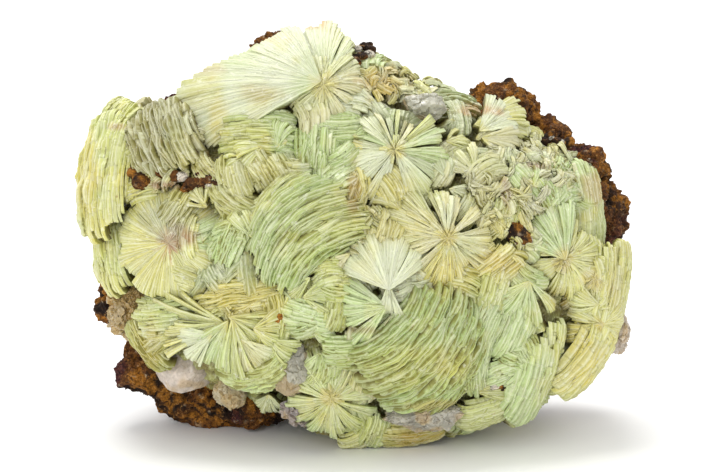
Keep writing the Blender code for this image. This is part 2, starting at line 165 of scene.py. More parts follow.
# Materials: strand noise cells in a millimetre across, along and over a plate; brightness of the
# prehnite; paints of the rock, quartz and core; numbers of the mix node's sockets, as names repeat
STRANDS_PER_MM = (3.4, 0.45, 1.0)
STONE_BRIGHTNESS = 0.79
STAIN_LIMIT = 1.6
WHITE_QUARTZ = "#DAD3C2"
QUARTZ_STAIN = "#C9A45C"
CORE_DARK = "#7A6226"
CORE_PALE = "#BFC47C"
ROCK_DARK = "#24150A"
ROCK_RUST = "#643C14"
ROCK_OCHRE = "#A86F22"
ROCK_PURPLE = "#4A222A"
ROCK_GRIT = "#B9A88C"
MIX_SHARE = 0
MIX_FIRST = 6
MIX_SECOND = 7
MIX_RESULT = 2

# Colours of the real stone, sRGB
PALETTE = {
    "mint_white": "#DCE2BA",
    "grey_mint": "#CFD4A6",
    "mint": "#C6D994",
    "green": "#B5C97C",
    "grey_green": "#B6BF8C",
    "yellow_green": "#CCD27A",
    "olive_green": "#B5B865",
    "pale_yellow": "#DAD986",
    "yellow": "#D8D070",
    "cream": "#DCD7A0",
    "grey": "#BDBB92",
    "amber": "#CFB552",
    "rust_cream": "#B9743A",
    "stain": "#D8CB5E",
    # Painted shade for the grooves between plates
    "groove": "#7F7A38",
    "ochre": "#A2863A",
    "frost": "#E9ECC6",
}


def linear(code):
    """sRGB hex code turned to linear light, three numbers."""
    values = np.array([int(code[i:i + 2], 16) / 255.0 for i in (1, 3, 5)])
    return np.where(values <= 0.04045, values / 12.92, ((values + 0.055) / 1.055) ** 2.4)


def blend(color, paint, share):
    """Linear colour turned to a paint, a name or sRGB hex code, by a share for every point."""
    return color + (linear(PALETTE.get(paint, paint)) - color) * share[..., None]


# What a sheaf has where its row says nothing else. Colours: tint and heart, chips for frosted
# plates, seams for the share of plates with a line of painted shade where they meet the next,
# streaks for an uneven heart. Millimetres: pitch of the plates, gap after a petal, proud of the
# body, deep below the crest. Shape: lean and splay of the plates to the side, bend and flare along
# a dome, reach from petal to petal, tip of the whole sheaf, droop and plunge of the rim, broken for
# wafers, calm for lifted petals, relief for roughness. Loose is the share of unevenness, torn that
# of torn plates, and furry sheaves have needles in their heart
LOOKS = dict(tint="mint", heart="yellow", chips=0.35, seams=0.35, streaks=0.06, pitch=0.85, gap=0.5,
             proud=0.0, deep=3.0, lean=0.30, splay=0.5, bend=0.0, flare=0.0, reach=(1.0, 1.0),
             tip=(0.0, 0.0), droop=0.011, plunge=1.3, broken=1.0, calm=1.0, relief=1.0, loose=0.1,
             torn=0.06, furry=0.0)


def star(at, radius, thick=0.36, petals=9, **more):
    """Round rosette whose plates meet in a line that points at the viewer."""
    return dict(LOOKS, kind="star", at=at, radius=radius, length=radius * thick, angle=0.0,
                spread=180.0, petals=petals, **more)


def fan(at, radius, angle, spread, thick=0.3, petals=4, **more):
    """Part of a rosette that opens towards one side, half its opening given by spread."""
    return dict(LOOKS, kind="fan", at=at, radius=radius, length=radius * thick, angle=angle,
                spread=spread, petals=petals, **more)


def dome(at, radius, length, angle, seams=0.7, pitch=0.68, chips=0.42, **more):
    """Sheaf seen from its side: leaning plates side by side, all along the given direction."""
    return dict(LOOKS, kind="dome", at=at, radius=radius, length=length, angle=angle, seams=seams,
                pitch=pitch, chips=chips, **more)


# Every sheaf that can be told apart in the view plane
SHEAVES = [
    fan((-7.4, 92.8), 38, 160, 50, thick=0.13, petals=2, proud=2.8, tint="mint_white", heart="mint",
        reach=(0.47, 0.47, 0.48, 0.52, 0.57, 0.66, 0.82, 0.97, 1.0, 0.90, 0.76), gap=0.0, pitch=1.0,
        loose=0.0, calm=0.25, droop=0.0065, plunge=0.6, relief=0.35, seams=0.06, deep=5.0),
    fan((-6.5, 93), 17.5, 85, 32, petals=3, proud=0.5, tint="mint_white", heart="mint",
        reach=(0.72, 0.86, 1.0, 0.98, 0.85), gap=0.0, calm=0.5, relief=0.5, plunge=0.6, seams=0.1),
    star((-7, 92.5), 10.3, furry=1.0, thick=0.34, petals=15, proud=2.6, tint="cream", gap=0.9,
         loose=0.35, reach=(1.1, 0.95, 0.95, 1.05, 1.0, 0.9, 1.1)),
    dome((-23, 80.5), 7.2, 10.5, -4, tint="green", lean=-0.4),
    dome((-7.5, 78), 6.6, 7.5, 88, tint="green", lean=0.2),
    dome((-18.5, 71.5), 6.5, 4.2, -58, tint="grey_green", pitch=0.72, lean=0.5),
    dome((-61.5, 70.5), 8.5, 17.0, 97, broken=0.3, tint="yellow_green", pitch=0.8, splay=0.9, lean=0.0,
         torn=0.0, seams=0.4),
    dome((-59.5, 86.0), 4.5, 5.5, 80, broken=0.45, tint="yellow_green", lean=0.0),
    dome((-60, 52.5), 6.5, 12, 98, broken=0.45, tint="yellow_green", pitch=0.72, lean=0.0),
    dome((-47, 79.5), 9.5, 10.5, 116, tint="grey", pitch=0.72, loose=0.5, torn=0.15, lean=0.5),
    star((-44.9, 53.8), 14.6, thick=0.22, petals=10, proud=1.6, tint="pale_yellow", heart="rust_cream",
         gap=0.1, loose=0.08, calm=0.5, plunge=0.8, streaks=0.2, relief=0.6,
         reach=(1.0, 1.0, 1.02, 0.98, 1.0, 0.96)),
    fan((-44.9, 53.8), 14.2, 84, 46, thick=0.22, proud=1.9, tint="grey_green", heart="rust_cream",
        gap=0.1, calm=0.5, streaks=0.24),
    fan((-44.9, 53.8), 14.6, 10, 26, thick=0.22, petals=2, proud=1.9, heart="rust_cream", gap=0.1,
        calm=0.5, streaks=0.24),
    dome((-31.5, 66), 4.5, 8, 128, tint="grey_green", bend=-0.35, pitch=0.72, lean=0.6),
    dome((-35.5, 70), 3.5, 7, 140, tint="grey", bend=-0.3, lean=0.6),
    dome((-29.5, 55.5), 5.5, 8, 66, lean=0.5, pitch=0.66),
    dome((-28.2, 44.4), 4.6, 7.2, 48, tint="grey_green", loose=0.3, torn=0.12, pitch=0.72),
    dome((-13.4, 58), 11.8, 15.0, 42, tint="green", bend=-0.3, flare=0.15, lean=-0.45, pitch=0.66,
         proud=1.0),
    dome((-6, 68.3), 5.2, 4.8, 88, pitch=0.66, lean=-0.3),
    dome((-0.8, 59.5), 3.4, 8.5, 68, tint="cream", loose=0.5, torn=0.3),
    fan((21.5, 56.5), 14.0, 160, 44, thick=0.28, petals=6, proud=2.2, tint="grey_mint", gap=0.9),
    star((23.4, 55.2), 11.8, furry=1.0, thick=0.34, petals=13, proud=3.2, tint="cream", gap=1.0,
         loose=0.25, reach=(0.95, 1.05, 0.8, 0.95, 1.0, 1.05, 0.9)),
    fan((23.2, 56.0), 10.5, 92, 15, thick=0.4, petals=2, proud=4.4, tint="mint_white"),
    fan((23.6, 54.5), 13.8, 266, 38, thick=0.34, petals=5, proud=2.6, tint="yellow", gap=0.9),
    fan((23.5, 54.5), 15.0, -24, 20, thick=0.26, petals=6, proud=2.0, tint="cream", gap=1.3, loose=0.5),
    fan((9.0, 42.5), 13.8, 97, 64, proud=4.2, tint="mint_white", heart="mint_white", gap=0.0, calm=0.4,
        relief=0.6, seams=0.12, reach=(0.85, 0.95, 1.0, 1.02, 1.0, 0.92, 0.86)),
    fan((9.0, 44.0), 9.0, 272, 24, thick=0.36, petals=3, proud=4.4, tint="mint_white",
        heart="mint_white"),
    fan((8.5, 38.5), 12.0, 192, 52, thick=0.34, petals=7, proud=3.2, heart="green", gap=0.9, torn=0.12),
    dome((18.5, 27.0), 14.5, 17.0, 50, tint="green", pitch=0.7, lean=-0.45, bend=0.22, flare=-0.1,
         proud=1.0, torn=0.08),
    dome((28.3, 28.0), 6.5, 12.5, 82, bend=-0.25, lean=0.55, pitch=0.66, proud=0.8),
    dome((20.5, 16.5), 5.5, 10.0, 24, lean=-0.5, bend=0.2, proud=0.8),
    dome((9.8, 32.5), 4.6, 8.5, 62, tint="cream", pitch=0.66, loose=0.6, torn=0.35, proud=1.5),
    fan((30.5, 17.5), 9.5, 20, 45, thick=0.4, petals=5, tint="olive_green", gap=0.8),
    dome((33, 12), 5.2, 8.0, 8, tint="yellow_green"),
    fan((43.4, 44.5), 11.2, 266, 68, thick=0.32, petals=6, proud=2, heart="pale_yellow", gap=0.8),
    star((52.6, 50.0), 9.8, furry=1.0, thick=0.34, proud=1.4, tint="pale_yellow", gap=0.6, loose=0.2),
    star((60.2, 45.0), 10.2, furry=1.0, thick=0.34, proud=0.6, tint="pale_yellow", gap=0.6, loose=0.2),
    fan((52.4, 49.6), 14.0, 118, 46, petals=6, proud=1.8, gap=0.7),
    dome((50.5, 64.5), 4.6, 6.2, 95),
    dome((59, 62), 5.6, 12.5, 84, broken=0.45, pitch=0.8),
    dome((63.8, 41.0), 6.5, 14.5, 86, broken=0.45, tint="pale_yellow", pitch=0.72),
    fan((30.0, 82.5), 16.5, 16, 27, thick=0.26, proud=1.8, tint="pale_yellow", gap=0.0, relief=0.6,
        reach=(0.8, 0.95, 0.9, 1.0, 0.9)),
    fan((31.5, 81.0), 11.5, 42, 34, proud=2.6, tint="mint_white", gap=0.0, relief=0.6),
    fan((32.0, 79.5), 10.0, -8, 34, proud=2.2, tint="cream", gap=0.0, relief=0.7),
    dome((36.0, 48.0), 4.8, 6.5, 35, tint="yellow", proud=1.4),
    dome((34.5, 43.5), 4.0, 5.5, 75, tint="yellow_green", proud=1.6),
    dome((0.5, 67.0), 3.6, 6.0, 70, tint="yellow", loose=0.3, proud=1.0),
    dome((25, 88), 5, 8, 10, tint="grey_green"),
    fan((-31, 34.5), 19.0, 180, 34, thick=0.26, petals=7, proud=0.6, tint="pale_yellow", gap=0.2,
        loose=0.15, calm=1.4, relief=0.8, reach=(0.8, 1.0, 0.85, 1.0, 0.9)),
    fan((-34, 31.5), 9.5, 205, 42, thick=0.4, proud=2.8, tint="mint_white", gap=0.2, relief=0.8),
    fan((-30, 35.0), 12.5, 236, 28, thick=0.34, proud=2.0, gap=0.2, relief=0.8),
    fan((-29, 35.5), 16.5, 282, 27, thick=0.32, petals=5, proud=1.8, gap=0.2, calm=1.4, relief=0.8,
        reach=(0.85, 1.0, 0.9, 1.05, 0.9)),
    fan((-27, 30.5), 9.0, 300, 45, thick=0.4, proud=3.2, tint="mint_white", gap=0.2, relief=0.8),
    fan((-30, 36), 14.0, 340, 28, thick=0.34, petals=5, proud=1.8, tint="green", gap=0.2, relief=0.8),
    fan((-24, 33), 7.5, 355, 50, thick=0.4, proud=3.0, tint="yellow_green", gap=0.2),
    dome((-24.0, 22.5), 6.5, 10.0, 18, bend=0.3, lean=-0.6, pitch=0.72, proud=1.0),
    dome((-18.5, 34.0), 4.5, 9.0, 82, tint="yellow_green", bend=0.25, lean=0.5),
    dome((-28, 40.0), 4.5, 11.5, 14, tint="yellow", loose=0.4, torn=0.2),
    dome((-46.5, 35.5), 6.5, 8.5, 12, loose=0.35, torn=0.15),
    dome((-51, 28), 4.5, 8.0, 126, tint="olive_green"),
    fan((-20.5, 16.5), 6.0, 265, 55, thick=0.5, tint="grey_green", gap=0.7),
    dome((-11.2, 36.2), 4.2, 7.0, -14, broken=0.45, pitch=0.72, proud=1.2, lean=0.0),
    dome((-8.5, 41.0), 3.4, 4.2, 20, tint="yellow_green", bend=0.5, torn=0.1),
    star((-5.0, 15.8), 11.5, furry=1.0, thick=0.38, petals=12, proud=2.2, gap=0.9, loose=0.2,
         reach=(1.0, 0.9, 1.05, 1.1, 1.05, 0.95)),
    fan((-4.0, 15.5), 13.5, 54, 24, thick=0.28, petals=7, proud=2.4, tint="cream", gap=0.9, loose=0.4),
    dome((-0.5, 11.0), 4.2, 5.5, 110, lean=0.0),
    dome((5.0, 7.0), 4.6, 6.0, 80),
    dome((0.5, 4.5), 3.6, 4.5, 40, tint="pale_yellow"),
    dome((14.5, 6.2), 4.5, 9.0, 2, tint="yellow", lean=0.0),
    dome((44, 19), 6.5, 12.5, 86, broken=0.45, pitch=1.1, splay=0.8, torn=0.02, proud=1.0),
    dome((49.5, 27), 3.4, 8.5, 88, pitch=0.66, torn=0.2),
    dome((57.5, 25), 7.5, 12.0, 56, broken=0.45, tint="pale_yellow", pitch=1.2, torn=0.02),
    dome((39.5, 32.5), 5.8, 8.0, 70),
    dome((32.5, 36.5), 5.2, 8.5, 84, tint="yellow_green"),
    star((61.5, 34), 8.5, thick=0.5, petals=7, tint="pale_yellow", heart="amber"),
]

# Petals of the flower-like rosette: direction, half opening, length, height, colour
FLOWER_AT = (10.6, 76.5)
FLOWER_PETALS = [
    (247, 13, 13.8, 4.2, "mint_white"), (302, 18, 14.5, 4.5, "mint_white"),
    (334, 9, 12.2, 3.6, "mint_white"), (354, 12, 12.6, 3.9, "mint"), (22, 10, 14.2, 4.6, "mint"),
    (41, 7, 12.8, 3.2, "yellow_green"), (57, 5, 9.6, 4.8, "cream"), (68, 3, 9.0, 4.0, "cream"),
    (84, 3, 10.8, 3.6, "yellow_green"), (98, 5, 9.2, 3.0, "grey_mint"), (113, 3, 11.8, 4.8, "cream"),
    (131, 14, 11.6, 3.0, "grey_mint"), (152, 6, 10.2, 3.6, "mint"), (174, 14, 12.6, 3.2, "grey_mint"),
    (203, 14, 13.0, 4.1, "mint_white"), (223, 7, 11.8, 4.4, "mint_white"),
]

# Places with many small fans in every direction: place, half sizes across and up, count, tint
JUMBLES = [
    ((41.5, 70.5), (13.0, 9.5), 120, "grey"),
    ((38.0, 60.0), (6.5, 5.0), 26, "grey_mint"),
    ((8.5, 94.0), (6.0, 4.5), 30, "yellow"),
    ((16.0, 94.0), (5.0, 4.0), 16, "pale_yellow"),
    ((22.5, 90.0), (3.5, 3.5), 8, "grey_green"),
    ((-46.0, 70.0), (5.0, 3.0), 10, "grey"),
    ((44.0, 54.5), (4.0, 3.0), 9, "pale_yellow"),
    ((5.0, 58.0), (2.5, 6.0), 8, "grey_green"),
    ((-30.0, 35.0), (4.5, 3.5), 22, "pale_yellow"),
    ((10.0, 33.5), (3.0, 6.0), 12, "cream"),
    ((51.5, 75.0), (5.5, 2.6), 26, "cream"),
    ((58.5, 69.0), (3.2, 3.4), 16, "grey_mint"),
    ((45.5, 81.5), (3.0, 2.0), 8, "pale_yellow"),
]

# Lumps of the rock: place (across, up, out), half sizes (across, up, out)
ROCK_LUMPS = [
    ((-34.0, 15.5, -37.0), (17.5, 9.3, 12.0)),
    ((-52.0, 22.5, -31.0), (8.5, 6.5, 9.0)),
    ((-24.0, 13.0, -32.0), (11.0, 5.5, 10.0)),
    ((-57.0, 40.0, -29.0), (8.0, 9.0, 9.0)),
    ((-41.0, 88.0, -33.0), (6.0, 4.5, 7.0)),
    ((-33.0, 94.0, -33.0), (8.0, 4.0, 7.0)),
    ((-18.5, 103.5, -35.0), (8.0, 3.5, 6.0)),
    ((38.5, 86.5, -31.0), (10.0, 8.0, 11.0)),
    ((46.5, 79.5, -33.0), (9.0, 7.5, 11.0)),
    ((57.0, 71.5, -33.0), (9.5, 7.5, 11.0)),
    ((63.5, 60.5, -30.0), (6.5, 9.5, 12.0)),
    ((28.0, 15.0, -46.0), (16.0, 11.0, 9.0)),
]

# Rust that shows between the sheaves: across, up, half sizes
RUST_PATCHES = [
    (-46.8, 71.5, 6.0, 3.4), (-38.5, 68.5, 4.0, 2.2), (41.2, 56.0, 3.0, 3.0), (-17.3, 34.5, 1.6, 2.6),
    (3.3, 102.0, 1.8, 2.2), (62.5, 64.5, 2.0, 4.0), (36.0, 18.0, 1.6, 1.6), (57.5, 75.0, 4.5, 2.2),
    (51.0, 79.5, 4.0, 1.6), (3.0, 87.5, 1.4, 1.6),
]

# Iron and lichen-yellow stains: across, up, half sizes, colour, share
STAINS = [
    (-33.5, 84.5, 2.0, 7.0, "#D6C766", 0.7), (-23.0, 90.3, 5.5, 2.8, "#B8A54A", 0.7),
    (-9.5, 108.5, 4.0, 1.6, "#D39A3E", 0.7), (-20.0, 105.0, 7.0, 1.8, "#E0CFA0", 0.6),
    (-37.0, 97.0, 7.0, 1.8, "#D9C79A", 0.6), (-67.0, 72.0, 3.4, 15.0, "#DCCB5E", 0.7),
    (-59.0, 83.0, 2.6, 0.9, "#A8682C", 0.6), (-63.5, 57.0, 4.0, 9.0, "#D8CB5A", 0.6),
    (8.0, 93.5, 6.5, 5.0, "#D9AD40", 0.6), (-7.0, 92.5, 3.5, 3.5, "#E3D27A", 0.6),
    (0.5, 67.0, 1.6, 6.0, "#A9812E", 0.7), (23.4, 55.2, 2.8, 2.8, "#DCC65A", 0.7),
    (25.0, 47.0, 8.0, 7.0, "#DDCB5C", 0.6), (36.0, 49.0, 5.0, 3.0, "#DDC050", 0.6),
    (52.6, 50.0, 3.4, 3.4, "#D9BC5C", 0.5), (60.2, 45.0, 3.4, 3.4, "#D9BC5C", 0.5),
    (52.0, 39.5, 2.6, 2.6, "#B9A53A", 0.7), (61.5, 67.0, 4.0, 4.0, "#B98A4A", 0.6),
    (15.5, 5.5, 8.0, 2.8, "#D2AE3C", 0.7), (19.5, 13.5, 8.0, 1.3, "#CDB26A", 0.6),
    (-51.0, 27.5, 4.0, 6.0, "#B9A83A", 0.7), (-28.0, 39.5, 11.0, 4.0, "#DCCB6A", 0.6),
    (58.5, 24.5, 7.0, 10.0, "#E3D04C", 0.75), (-5.0, 15.8, 2.6, 2.6, "#DCC65A", 0.6),
    (38.0, 66.0, 1.4, 5.5, "#8A5630", 0.7), (46.0, 73.0, 4.5, 0.9, "#8A5630", 0.6),
    (32.0, 87.0, 7.0, 1.7, "#C98A40", 0.7), (10.6, 76.5, 2.4, 2.0, "#D8C65C", 0.6),
    (66.0, 45.0, 3.0, 9.0, "#CFC070", 0.5), (3.0, 7.0, 8.0, 5.0, "#DCDC6E", 0.6),
    (48.5, 30.0, 6.0, 6.0, "#D9D468", 0.5), (-18.0, 72.0, 8.0, 4.0, "#D8CC62", 0.5),
    (-42.5, 55.5, 4.6, 3.2, "#94522A", 0.8), (-46.5, 60.0, 8.0, 5.0, "#A8A883", 0.6),
    (-45.0, 68.0, 6.5, 1.2, "#8A4A22", 0.8), (-47.0, 79.0, 9.0, 9.0, "#93814A", 0.35),
    (2.0, 32.5, 5.0, 1.0, "#8E7A36", 0.7),
]

# Quartz grains: name, place, half sizes, colour, roughness of their surface
QUARTZ_GRAINS = [
    ("quartz_nodule", (-42.3, 22.4, -18.6), (7.0, 6.0, 6.5), "#E4D6C8", 0.12),
    ("quartz_beige", (-30.5, 16.5, -16.5), (4.2, 4.8, 5.0), "#D2C3A0", 0.5),
    ("quartz_druse", (-56.5, 37.5, -18.0), (5.5, 8.0, 6.0), "#B7A173", 1.3),
    ("quartz_pocket", (-14.5, 23.0, -2.5), (5.0, 8.0, 5.0), "#B3AF9E", 0.6),
    ("quartz_violet", (-13.5, 11.5, -8.0), (4.2, 3.0, 4.5), "#A3968F", 1.0),
    ("quartz_lilac", (18.0, 11.0, -5.0), (9.5, 4.2, 5.5), "#B7B2A4", 0.6),
    ("quartz_top", (18.5, 87.5, -3.5), (5.5, 3.8, 5.0), "#B7B5A2", 0.4),
    ("quartz_right", (66.0, 31.0, -19.0), (4.5, 5.0, 6.0), "#C2B39E", 0.5),
]


def to_world(places):
    """World metres of view-plane places: across, up and out times their directions, less the origin."""
    places = np.asarray(places, dtype=float)
    world = places[..., 0:1] * ACROSS + places[..., 1:2] * UP + places[..., 2:3] * OUT
    return (world - ORIGIN) * MM


def in_view(points):
    """Across, up and out of world points in millimetres: their parts along the view's directions."""
    view = points + ORIGIN
    return view @ ACROSS, view @ UP, view @ OUT


def above_floor(points):
    """World points in metres, those under the floor lifted to just above it."""
    points[:, 2] = np.maximum(points[:, 2], FLOOR_CLEARANCE)
    return points


def toward(turn):
    """Direction in the view plane at a turn: across times its cosine plus up times its sine."""
    return ACROSS * math.cos(turn) + UP * math.sin(turn)


def place_round(reach, turn):
    """Across and up of a place at a distance and a turn from the body's middle."""
    return reach * math.cos(turn), MIDDLE_UP + reach * math.sin(turn)


def unit(vector):
    """Vector brought to length one."""
    return vector / np.linalg.norm(vector, axis=-1, keepdims=True)


def swing(rng, most, size=None):
    """Random numbers from the given most below zero to as much above it."""
    return rng.uniform(-most, most, size)


def smooth_step(low, high, values):
    """S curve from 0 at low to 1 at high."""
    share = np.clip((values - low) / (high - low), 0.0, 1.0)
    return share * share * (3.0 - 2.0 * share)


def lattice(cells, seed):
    """A number from 0 to 1 for each whole cell, mixed from its three coordinates by large primes."""
    mixed = cells[..., 0] * PRIMES[0] ^ cells[..., 1] * PRIMES[1] ^ cells[..., 2] * PRIMES[2]
    mixed = (mixed + seed * PRIMES[3]) & 0xFFFFFFFF
    mixed = ((mixed >> 13) ^ mixed) * PRIMES[4] & 0xFFFFFFFF
    return (mixed >> 8 & 0xFFFF) / 65535.0


def noise(places, size, seed):
    """Smooth noise from 0 to 1: cell corner numbers blended with an S curve along each axis."""
    scaled = places / size
    cells = np.floor(scaled).astype(np.int64)
    share = smooth_step(0.0, 1.0, scaled - cells)
    total = np.zeros(places.shape[:-1])
    for corner in range(8):
        offset = np.array([corner & 1, corner >> 1 & 1, corner >> 2 & 1])
        weight = np.prod(np.where(offset == 1, share, 1.0 - share), axis=-1)
        total += weight * lattice(cells + offset, seed)
    return total


def noise_rows(distance, order, size, seed):
    """Smooth noise along each plate, a new run of it for every plate."""
    places = np.stack(np.broadcast_arrays(distance, order * ROW_STEP * size, 0.5), axis=-1)
    return noise(places, size, seed)


def patches(places, size, seed, low, high, most):
    """Share from 0 to most at places: noise of a size in millimetres, made patches by an S curve."""
    return smooth_step(low, high, noise(places, size, seed)) * most


def fractal(places, size, octaves, seed):
    """Sum of noise at halving sizes and halving strengths, centred on zero."""
    total = np.zeros(places.shape[:-1])
    for octave in range(octaves):
        total += (noise(places, size / 2 ** octave, seed + octave) - 0.5) / 2 ** octave
    return total


def crags(places, size, octaves, seed):
    """Sharp crests: the distance of noise from one half, at halving sizes and lower strengths, downward."""
    total = np.zeros(places.shape[:-1])
    for octave in range(octaves):
        total -= np.abs(noise(places, size / 2 ** octave, seed + octave) - 0.5) * CRAG_FADE ** octave
    return total + CRAG_LIFT


def cell_value(first, second, seed):
    """A number from -1 to 1 for each pair of whole numbers, as a torn edge's steps need."""
    cells = np.stack(np.broadcast_arrays(np.floor(first), np.floor(second), 0.0), axis=-1)
    return lattice(cells.astype(np.int64), seed) * 2.0 - 1.0


def nearest_block(places, size, seed):
    """A number from -1 to 1 for the block a place lies in: that of the nearest jittered cell point."""
    cells = np.floor(places / size).astype(np.int64)
    best = np.full(places.shape[:-1], np.inf)
    value = np.zeros(places.shape[:-1])
    for step in np.ndindex(3, 3, 3):
        cell = cells + np.array(step) - 1
        jitter = np.stack([lattice(cell, seed + axis) for axis in range(3)], axis=-1)
        away = np.sum(((cell + jitter) * size - places) ** 2, axis=-1)
        nearer = away < best
        best = np.where(nearer, away, best)
        value = np.where(nearer, lattice(cell, seed + 7) * 2.0 - 1.0, value)
    return value


def rim_reach(turns):
    """Distance from the middle of the body to its rim, linear between the rim's points by angle."""
    points = np.array(RIM, dtype=float) - np.array([0.0, MIDDLE_UP])
    angles = np.arctan2(points[:, 1], points[:, 0])
    order = np.argsort(angles)
    return np.interp(turns, angles[order], np.hypot(points[:, 0], points[:, 1])[order],
                     period=2.0 * math.pi)


def surface_rise(across, up):
    """Share of the full bulge at places: root of one less the squared share of the rim's reach."""
    reach = rim_reach(np.arctan2(up - MIDDLE_UP, across))
    squared = 1.0 - (np.hypot(across, up - MIDDLE_UP) / reach) ** 2
    return np.sqrt(np.maximum(squared, LOWEST_RISE ** 2))


def surface_out(across, up):
    """Height of the body's smooth front towards the viewer, in millimetres."""
    return MIDDLE_OUT + BULGE * surface_rise(across, up)


def surface_normal(across, up):
    """Outward direction of the smooth round body: each place over its squared half size."""
    normal = ACROSS * across / HALF_WIDTH ** 2 + UP * (up - MIDDLE_UP) / HALF_HEIGHT ** 2
    return unit(normal + OUT * surface_rise(across, up) / BULGE)


def sheaf_axes(sheaf):
    """Origin in millimetres and three directions of one sheaf: facing, ahead and side.

    A rosette faces half-way between the body's own direction and the viewer; a dome faces
    straight out of the body and has its plates along ahead.
    """
    if "axes" in sheaf:
        return sheaf["axes"]
    across, up = sheaf["at"]
    normal = surface_normal(across, up)
    direction = toward(math.radians(sheaf["angle"]))
    facing = normal if sheaf["kind"] == "dome" else unit(normal + OUT)
    facing = unit(facing + ACROSS * sheaf["tip"][0] + UP * sheaf["tip"][1])
    ahead = unit(direction - facing * direction.dot(facing))
    out = surface_out(across, up) + sheaf["proud"]
    return to_world((across, up, out)) / MM, facing, ahead, np.cross(facing, ahead)


def uneven_places(count, rng):
    """Middles and widths of plates that take uneven shares of the room, as shares of the whole."""
    widths = rng.uniform(*PLATE_WIDTHS, count)
    widths /= widths.sum()
    return np.cumsum(widths) - 0.5 * widths, widths * count


def petal_layout(sheaf, count, rng):
    """Petal of every plate, its place in the petal from -0.5 to 0.5, its turn and its width.

    Petals take uneven shares of the spread, and a wedge is left open after each one: the gap over
    the radius, times the widest wedge, times a random number from 0 to 1 to the power 5.
    """
    petals = sheaf["petals"]
    shares = rng.uniform(*PETAL_WIDTHS, petals)
    edges = np.concatenate([[0.0], np.cumsum(shares) / shares.sum()])
    share, widths = uneven_places(count, rng)
    petal = np.clip(np.searchsorted(edges, share) - 1, 0, petals - 1)
    within = (share - edges[petal]) / (edges[petal + 1] - edges[petal]) - 0.5
    spread = 2.0 * math.radians(sheaf["spread"])
    wedges = rng.uniform(0.0, 1.0, petals) ** 5 * WIDEST_WEDGE * sheaf["gap"] / sheaf["radius"]
    opened = (np.cumsum(wedges) - wedges)[petal]
    turns = share * (spread - wedges.sum()) + opened - 0.5 * spread
    return petal, within, turns, widths


def rosette_reach(sheaf, petal, within, rng):
    """Length of every plate as a share of the radius.

    It is the sheaf's profile times one plus a ragged share, which is uneven from petal to petal
    and from plate to plate, and less at a petal's sides by twice the place in it to the power 3.
    """
    count = len(petal)
    order = np.arange(count)
    corners = np.linspace(0.0, 1.0, len(sheaf["reach"]))
    profile = np.interp((order + 0.5) / count, corners, sheaf["reach"])
    ragged = rng.uniform(*PETAL_RAGGED, sheaf["petals"])[petal] * (1.0 + sheaf["loose"])
    ragged = ragged - PETAL_ROUNDING * np.abs(2.0 * within) ** 3
    ragged = ragged + swing(rng, PLATE_RAGGED, count) + EDGE_STEP * cell_value(order / 2.6, petal, 61)
    return profile * (1.0 + ragged * sheaf["relief"])


def rosette_height(sheaf, petal, within, start, share, distance, rng):
    """Height of every plate's crest over the rosette's middle plane, in millimetres.

    It is the thickness times (0.72 less 0.42 times the share of the radius to the power 2.2), less
    the droop times the distance squared, less the plunge times the share to the power 7, plus the
    distance times the petal's lift and lean. Steps, noise and raggedness are added to it, and a
    plate lies lower where it is torn and before its start.
    """
    loose, calm, petals = sheaf["loose"], sheaf["calm"], sheaf["petals"]
    order = np.arange(len(petal))[:, None]
    lift = rng.uniform(*PETAL_LIFT, petals)[petal][:, None] * calm
    lean = swing(rng, PETAL_LEAN, petals)[petal][:, None] * 2.0 * within[:, None] * calm
    height = sheaf["length"] * (MIDDLE_HEIGHT - RIM_FALL * share ** 2.2)
    height = height - sheaf["droop"] * distance ** 2 - sheaf["plunge"] * share ** 7
    height = height + distance * (lift + lean)
    uneven = swing(rng, 1.0, (len(order), 1)) * (0.04 + 0.45 * loose) * share ** 0.5
    uneven = uneven + EDGE_STEP * cell_value(order, distance / 3.3 + order * 0.37, 62)
    uneven = uneven + WAVE * (noise_rows(distance, order * 0.1, 4.0, 64) - 0.5)
    uneven = uneven + swing(rng, 1.0, distance.shape) * SERRATION * 0.6
    late = 1.0 - smooth_step(start - 0.05, start + 0.05, share)
    tear = cell_value(order + 0.5, distance / 4.5 + order * 0.61, 63) * 0.5 + 0.5
    torn = (tear < sheaf["torn"]) * (0.6 + loose)
    lowered = np.maximum(late * (start > 0.0), torn) * SUNK_DEPTH
    height = height + (uneven * np.clip(share * 3.0, 0.3, 1.0) - lowered) * sheaf["relief"]
    height[:, -1] -= RIM_DROP
    return height


